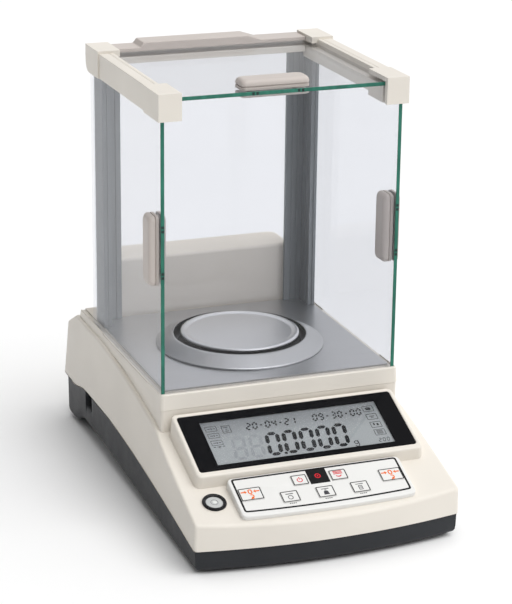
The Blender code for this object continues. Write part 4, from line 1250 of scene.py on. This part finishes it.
def extruded_column(name, side):
    """An L-shaped aluminium section with shallow grooves down its faces."""
    outer, rib, leg, leg_front = PANE_HALF - 0.1, 87.5, 73.0, 180.5
    outline = grooved((rib, COLUMN_FRONT), (outer, COLUMN_FRONT), (0.5,), (0, 1))
    outline += [(outer, COLUMN_FRONT), (outer, FRAME_REAR), (leg, FRAME_REAR)]
    outline += grooved((leg, leg_front), (rib, leg_front), (0.35, 0.7), (0, 1))
    outline += grooved((rib, leg_front), (rib, COLUMN_FRONT), (0.3, 0.65), (1, 0))
    low, high = lifted(GAP, LEDGE_BOTTOM - GAP)
    obj = prism("column_section_" + name, mirrored(outline, side), low, high, "aluminium_grey")
    under_rail, height = span(side, RAIL_WALL - 2 * GAP, 100.0), lifted(RAIL_BOTTOM - GAP, 240.0)
    cut(obj, block(name + "_column_top", under_rail, (150.0, CLEAR_REAR), height, "aluminium_grey"))
    soften(obj, 0.25, 2)
    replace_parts(obj, "column_" + name)


def rear_rails():
    """Two bars across the back, between which the roof glass slides out; the upper one has a flat hump."""
    half = RAIL_INNER - GAP
    depth = (163.5, FRAME_REAR)
    low = block("crossbar", (-half, half), depth, lifted(LEDGE_BOTTOM, LEDGE_TOP - GAP), edge=0.5)
    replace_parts(low, "rear_crossbar")
    under, top, crown = ROOF_TOP + 0.5, 234.6, 238.4
    hump = [(43.0, top), (31.0, crown), (-58.0, crown), (-61.0, top)]
    outline = [(-half, under), (half, under), (half, top), *hump, (-half, top)]
    outline = [(x, PLATEAU_TOP + z) for x, z in outline]
    high = prism("cover_strip", outline, *depth, "handle_cream", axis="y", edge=0.6)
    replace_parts(high, "rear_cover_strip")


def pane_ring(ranges, thin_axis, level, inset):
    """The four corners of a pane's outline at a level through its thickness."""
    long_axes = [axis for axis in range(3) if axis != thin_axis]
    ring = []
    for ends in ((0, 0), (1, 0), (1, 1), (0, 1)):
        point = [level] * 3
        for axis, end in zip(long_axes, ends):
            point[axis] = ranges[axis][end] + (-inset if end else inset)
        ring.append(tuple(point))
    return ring


def pane(name, ranges, thin_axis, body, marks=()):
    """A glass pane with chamfered green edges; marks are (low, high) dark stretches along its front edge."""
    chamfer = 0.35
    low, high = ranges[thin_axis]
    levels = ((low, chamfer), (low + chamfer, 0.0), (high - chamfer, 0.0), (high, chamfer))
    rings = [pane_ring(ranges, thin_axis, level, inset) for level, inset in levels]
    points = [point for ring in rings for point in ring]
    faces = skin(rings) + [(0, 1, 2, 3), (12, 13, 14, 15)]
    obj = piece(name, points, faces, "glass_clear", body=body, looks=("glass_edge",), sharp=10)
    for face in obj.data.polygons:
        face.material_index = 1 if thin_axis != 1 and face.normal[1] < -0.5 else 0
    front = (ranges[1][0] - 0.04, ranges[1][0] + 0.5)
    thickness = (low + chamfer, high - chamfer)
    for mark in marks:
        across, height = (thickness, mark) if thin_axis == 0 else (mark, thickness)
        block(f"{name}_mark_{round(mark[0])}", across, front, height, "glass_mark", body=body)
    return obj


DOORS = ("left_door", "right_door", "top_door")
HANDLE_LENGTH = 55.0
HANDLE_WIDTH = 18.0
SCREW_SPACING = 36.4
MARK_LENGTH = 2.0


def screw_marks(middle):
    """Where the two screw bores show as dark bands in the glass's front edge."""
    places = [middle + side * SCREW_SPACING / 2 + half * 1.6 for side in (-1, 1) for half in (-1, 1)]
    return [(place - MARK_LENGTH / 2, place + MARK_LENGTH / 2) for place in places]


def glass():
    """Fixed front and rear panes, two side doors and the top door."""
    for node in ("front_pane", "rear_pane", *DOORS):
        x, (front, rear), z = spans(node)
        ranges = (x, (front - PLATEAU_FRONT, rear - PLATEAU_FRONT), z)
        marks, body, thin_axis = (), "balance", 1
        if node in DOORS:
            body = node
            thin_axis, along_axis = (2, 0) if node == "top_door" else (0, 2)
            marks = screw_marks(sum(spans(node + "_handle_grip")[along_axis]) / 2)
        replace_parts(pane(node + "_glass", ranges, thin_axis, body, marks), node)


def handle_layers(kind):
    """(inset, corner radius, height): the grip has a flange, a groove and a domed bar; the plate is flat."""
    if kind == "plate":
        return [(0.0, 4.0, 0.02), (0.0, 4.0, 1.9), (0.2, 3.8, 2.3), (0.7, 3.4, 2.6)]
    low, top, steps = 4.0, 8.0, 7
    flange = [(0.0, 4.0, 0.02), (0.0, 4.0, 2.0), (0.2, 3.9, 2.2)]
    groove = [(1.0, 3.4, 2.3), (1.0, 3.4, 2.9)]
    layers = flange + groove + [(0.2, 3.9, 3.0), (0.0, 4.0, 3.2), (0.0, 4.0, low)]
    for i in range(1, steps + 1):
        angle = math.pi / 2 * i / steps
        inset, radius = 3.6 * (1 - math.cos(angle)), 4.0 - 0.3 * i / steps
        layers.append((inset, radius, low + (top - low) * math.sin(angle)))
    return layers


def handle_half(name, centre, outward, along, kind, body):
    """One half of a door handle, from its centre on the glass; outward points away from the glass."""
    z_axis, y_axis = Vector(outward), Vector(along)
    turn = Matrix((y_axis.cross(z_axis), y_axis, z_axis)).transposed().to_4x4()
    place = DESK @ Matrix.Translation(centre) @ turn
    rings = []
    for inset, radius, height in handle_layers(kind):
        outline = rounded_rectangle(HANDLE_WIDTH - 2 * inset, HANDLE_LENGTH - 2 * inset, radius)
        rings.append([(x, y, height) for x, y in outline])
    return loft(name, rings, "handle_cream", body=body, place=place, sharp=50)


def handles():
    """A grip and a clamping plate on each door: the grip on the side doors' left, and over the roof."""
    for door in DOORS:
        on_roof = door == "top_door"
        axis, grip_way, along = (2, 1, (1, 0, 0)) if on_roof else (0, -1, (0, 0, 1))
        middle = [(low + high) / 2 for low, high in spans(door + "_handle_grip")]
        middle[1] -= PLATEAU_FRONT
        for kind, way in (("grip", grip_way), ("plate", -grip_way)):
            centre, outward = list(middle), [0, 0, 0]
            centre[axis] = spans(door)[axis][way > 0]
            outward[axis] = way
            obj = handle_half(f"{door}_{kind}", centre, outward, along, kind, door)
            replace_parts(obj, f"{door}_handle_{kind}")


# ---- feet and carried-over nodes


def levelling_feet():
    """A knurled wheel on a plain stud over a small rubber pad, at each rear corner."""
    teeth = 60
    low, high = WHEEL
    chamfer, tooth_depth = 0.6, 0.7
    levels = ((chamfer, low), (0.0, low + chamfer), (0.0, high - chamfer), (chamfer, high))
    for name, side in SIDES:
        centre = leveller(side)
        rings = []
        for inset, level in levels:
            radii = [WHEEL_RADIUS - inset - (tooth_depth if i % 2 else 0.0) for i in range(2 * teeth)]
            step = math.tau / len(radii)
            rings.append([(*polar(centre, radius, step * i), level) for i, radius in enumerate(radii)])
        wheel = loft("knurled_wheel_" + name, rings, "tray_black", body="levelling_wheel_" + name, sharp=30)
        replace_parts(wheel, "levelling_wheel_" + name)
        top = spans("foot_pad_" + name)[2][1]
        stud = [(0.02, 3.8), (4.0, 3.8), (4.0, top - 0.5), (3.5, top), (0.02, top)]
        lathe("stud_" + name, stud, "steel", centre, 40, body="foot_pad_" + name)
        pad = [(0.02, 0.0), (7.6, 0.0), (8.0, 0.4), (8.0, 3.0), (7.2, 4.0), (4.6, 4.2), (0.02, 4.2)]
        obj = lathe("pad_" + name, pad, "rubber_black", centre, 48, body="foot_pad_" + name)
        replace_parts(obj, "foot_pad_" + name)


CARRIED = {
    "steel": ["pan_support", "serial_port"],
    "stainless_plate": ["floor_plate"],
    "aluminium_grey": ["load_cell"],
    "board_green": ["main_board", "display_board"],
    "socket_black": ["power_socket"],
    "rubber_black": ["front_foot_left", "front_foot_right"],
}


def carried_nodes():
    """CAD nodes that are shown as they are, with a full material each."""
    screws = [f"{door}_handle_screw_{which}" for door in DOORS for which in "ab"]
    for look, nodes in {**CARRIED, "steel": CARRIED["steel"] + screws}.items():
        for node in nodes:
            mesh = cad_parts[node].data
            mesh.materials.clear()
            mesh.materials.append(LOOKS[look])


# ---- stage, light and camera


def floor():
    """A plain pale floor, wide enough to fill the view; half its width is in metres."""
    half = 60.0
    corners = [(-half, -half, 0.0), (half, -half, 0.0), (half, half, 0.0), (-half, half, 0.0)]
    mesh = bpy.data.meshes.new("floor")
    mesh.from_pydata(corners, [], [(0, 1, 2, 3)])
    mesh.materials.append(LOOKS["floor_pale"])
    obj = bpy.data.objects.new("floor", mesh)
    bpy.context.scene.collection.objects.link(obj)


# The surround's strength: a level, how it rises toward +x, +y and +z, and what it never falls below.
WORLD_LEVEL = 0.36
WORLD_SLOPE = (0.44, 0.16, 0.42)
WORLD_FLOOR = 0.06
KEY_STRENGTH = 1.75
KEY_SOFTNESS = 60.0
KEY_AZIMUTH = 26.0
KEY_ELEVATION = 60.0


def toward(azimuth, elevation):
    """The direction from the object to a place at these angles, in degrees; 0, 0 is straight in front."""
    across, up = math.radians(azimuth), math.radians(elevation)
    return Vector((math.sin(across) * math.cos(up), -math.cos(across) * math.cos(up), math.sin(up)))


def lighting():
    """A pale surround that is brightest above, behind and to the right, and a very soft key light."""
    world = bpy.data.worlds.new("studio")
    world.use_nodes = True
    tree = world.node_tree
    direction = tree.nodes.new("ShaderNodeTexCoord").outputs["Generated"]
    slope = tree.nodes.new("ShaderNodeVectorMath")
    slope.operation = "DOT_PRODUCT"
    slope.inputs[1].default_value = WORLD_SLOPE
    tree.links.new(direction, slope.inputs[0])
    strength = slope.outputs["Value"]
    for operation, value in (("ADD", WORLD_LEVEL), ("MAXIMUM", WORLD_FLOOR)):
        step = tree.nodes.new("ShaderNodeMath")
        step.operation = operation
        step.inputs[1].default_value = value
        tree.links.new(strength, step.inputs[0])
        strength = step.outputs["Value"]
    background = tree.nodes["Background"]
    background.inputs["Color"].default_value = (1.0, 1.0, 1.0, 1.0)
    tree.links.new(strength, background.inputs["Strength"])
    bpy.context.scene.world = world
    light = bpy.data.lights.new("key", "SUN")
    light.energy = KEY_STRENGTH
    light.angle = math.radians(KEY_SOFTNESS)
    obj = bpy.data.objects.new("key", light)
    obj.rotation_euler = toward(KEY_AZIMUTH, KEY_ELEVATION).to_track_quat("Z", "Y").to_euler()
    bpy.context.scene.collection.objects.link(obj)


CAMERA_AZIMUTH = -20.44
CAMERA_ELEVATION = 18.856
CAMERA_ROLL = 0.52
CAMERA_DISTANCE = 1752.6
LENS = 151.25
SHIFT = (0.0359, 0.0227)


def camera():
    """A long lens from the front left and above, aimed at the middle of the chamber floor."""
    data = bpy.data.cameras.new("camera")
    data.sensor_fit = "HORIZONTAL"
    data.sensor_width = 36.0
    data.lens = LENS
    data.shift_x, data.shift_y = SHIFT
    data.clip_end = 200.0
    back = toward(CAMERA_AZIMUTH, CAMERA_ELEVATION)
    target = Vector((0.0, PLATEAU_FRONT + 98.5, PLATEAU_TOP + 23.7))
    roll = Matrix.Rotation(math.radians(CAMERA_ROLL), 4, "Z")
    turn = back.to_track_quat("Z", "Y").to_matrix().to_4x4() @ roll
    turn.translation = (target + back * CAMERA_DISTANCE) * MM
    obj = bpy.data.objects.new("camera", data)
    obj.matrix_world = turn
    bpy.context.scene.collection.objects.link(obj)
    bpy.context.scene.camera = obj


def build():
    """The whole picture, from the housing up to the light and the camera."""
    housing_body()
    housing_plateau()
    tray()
    display_bezel()
    display_window()
    keypad()
    keys()
    spirit_level()
    weighing_area()
    rear_box()
    for name, side in SIDES:
        front_block(name, side)
        side_rail(name, side)
        rear_cap(name, side)
        extruded_column(name, side)
    rear_rails()
    glass()
    handles()
    levelling_feet()
    carried_nodes()
    floor()
    lighting()
    camera()
    flat_faces_first()
    bpy.context.scene.view_settings.view_transform = "Standard"


build()
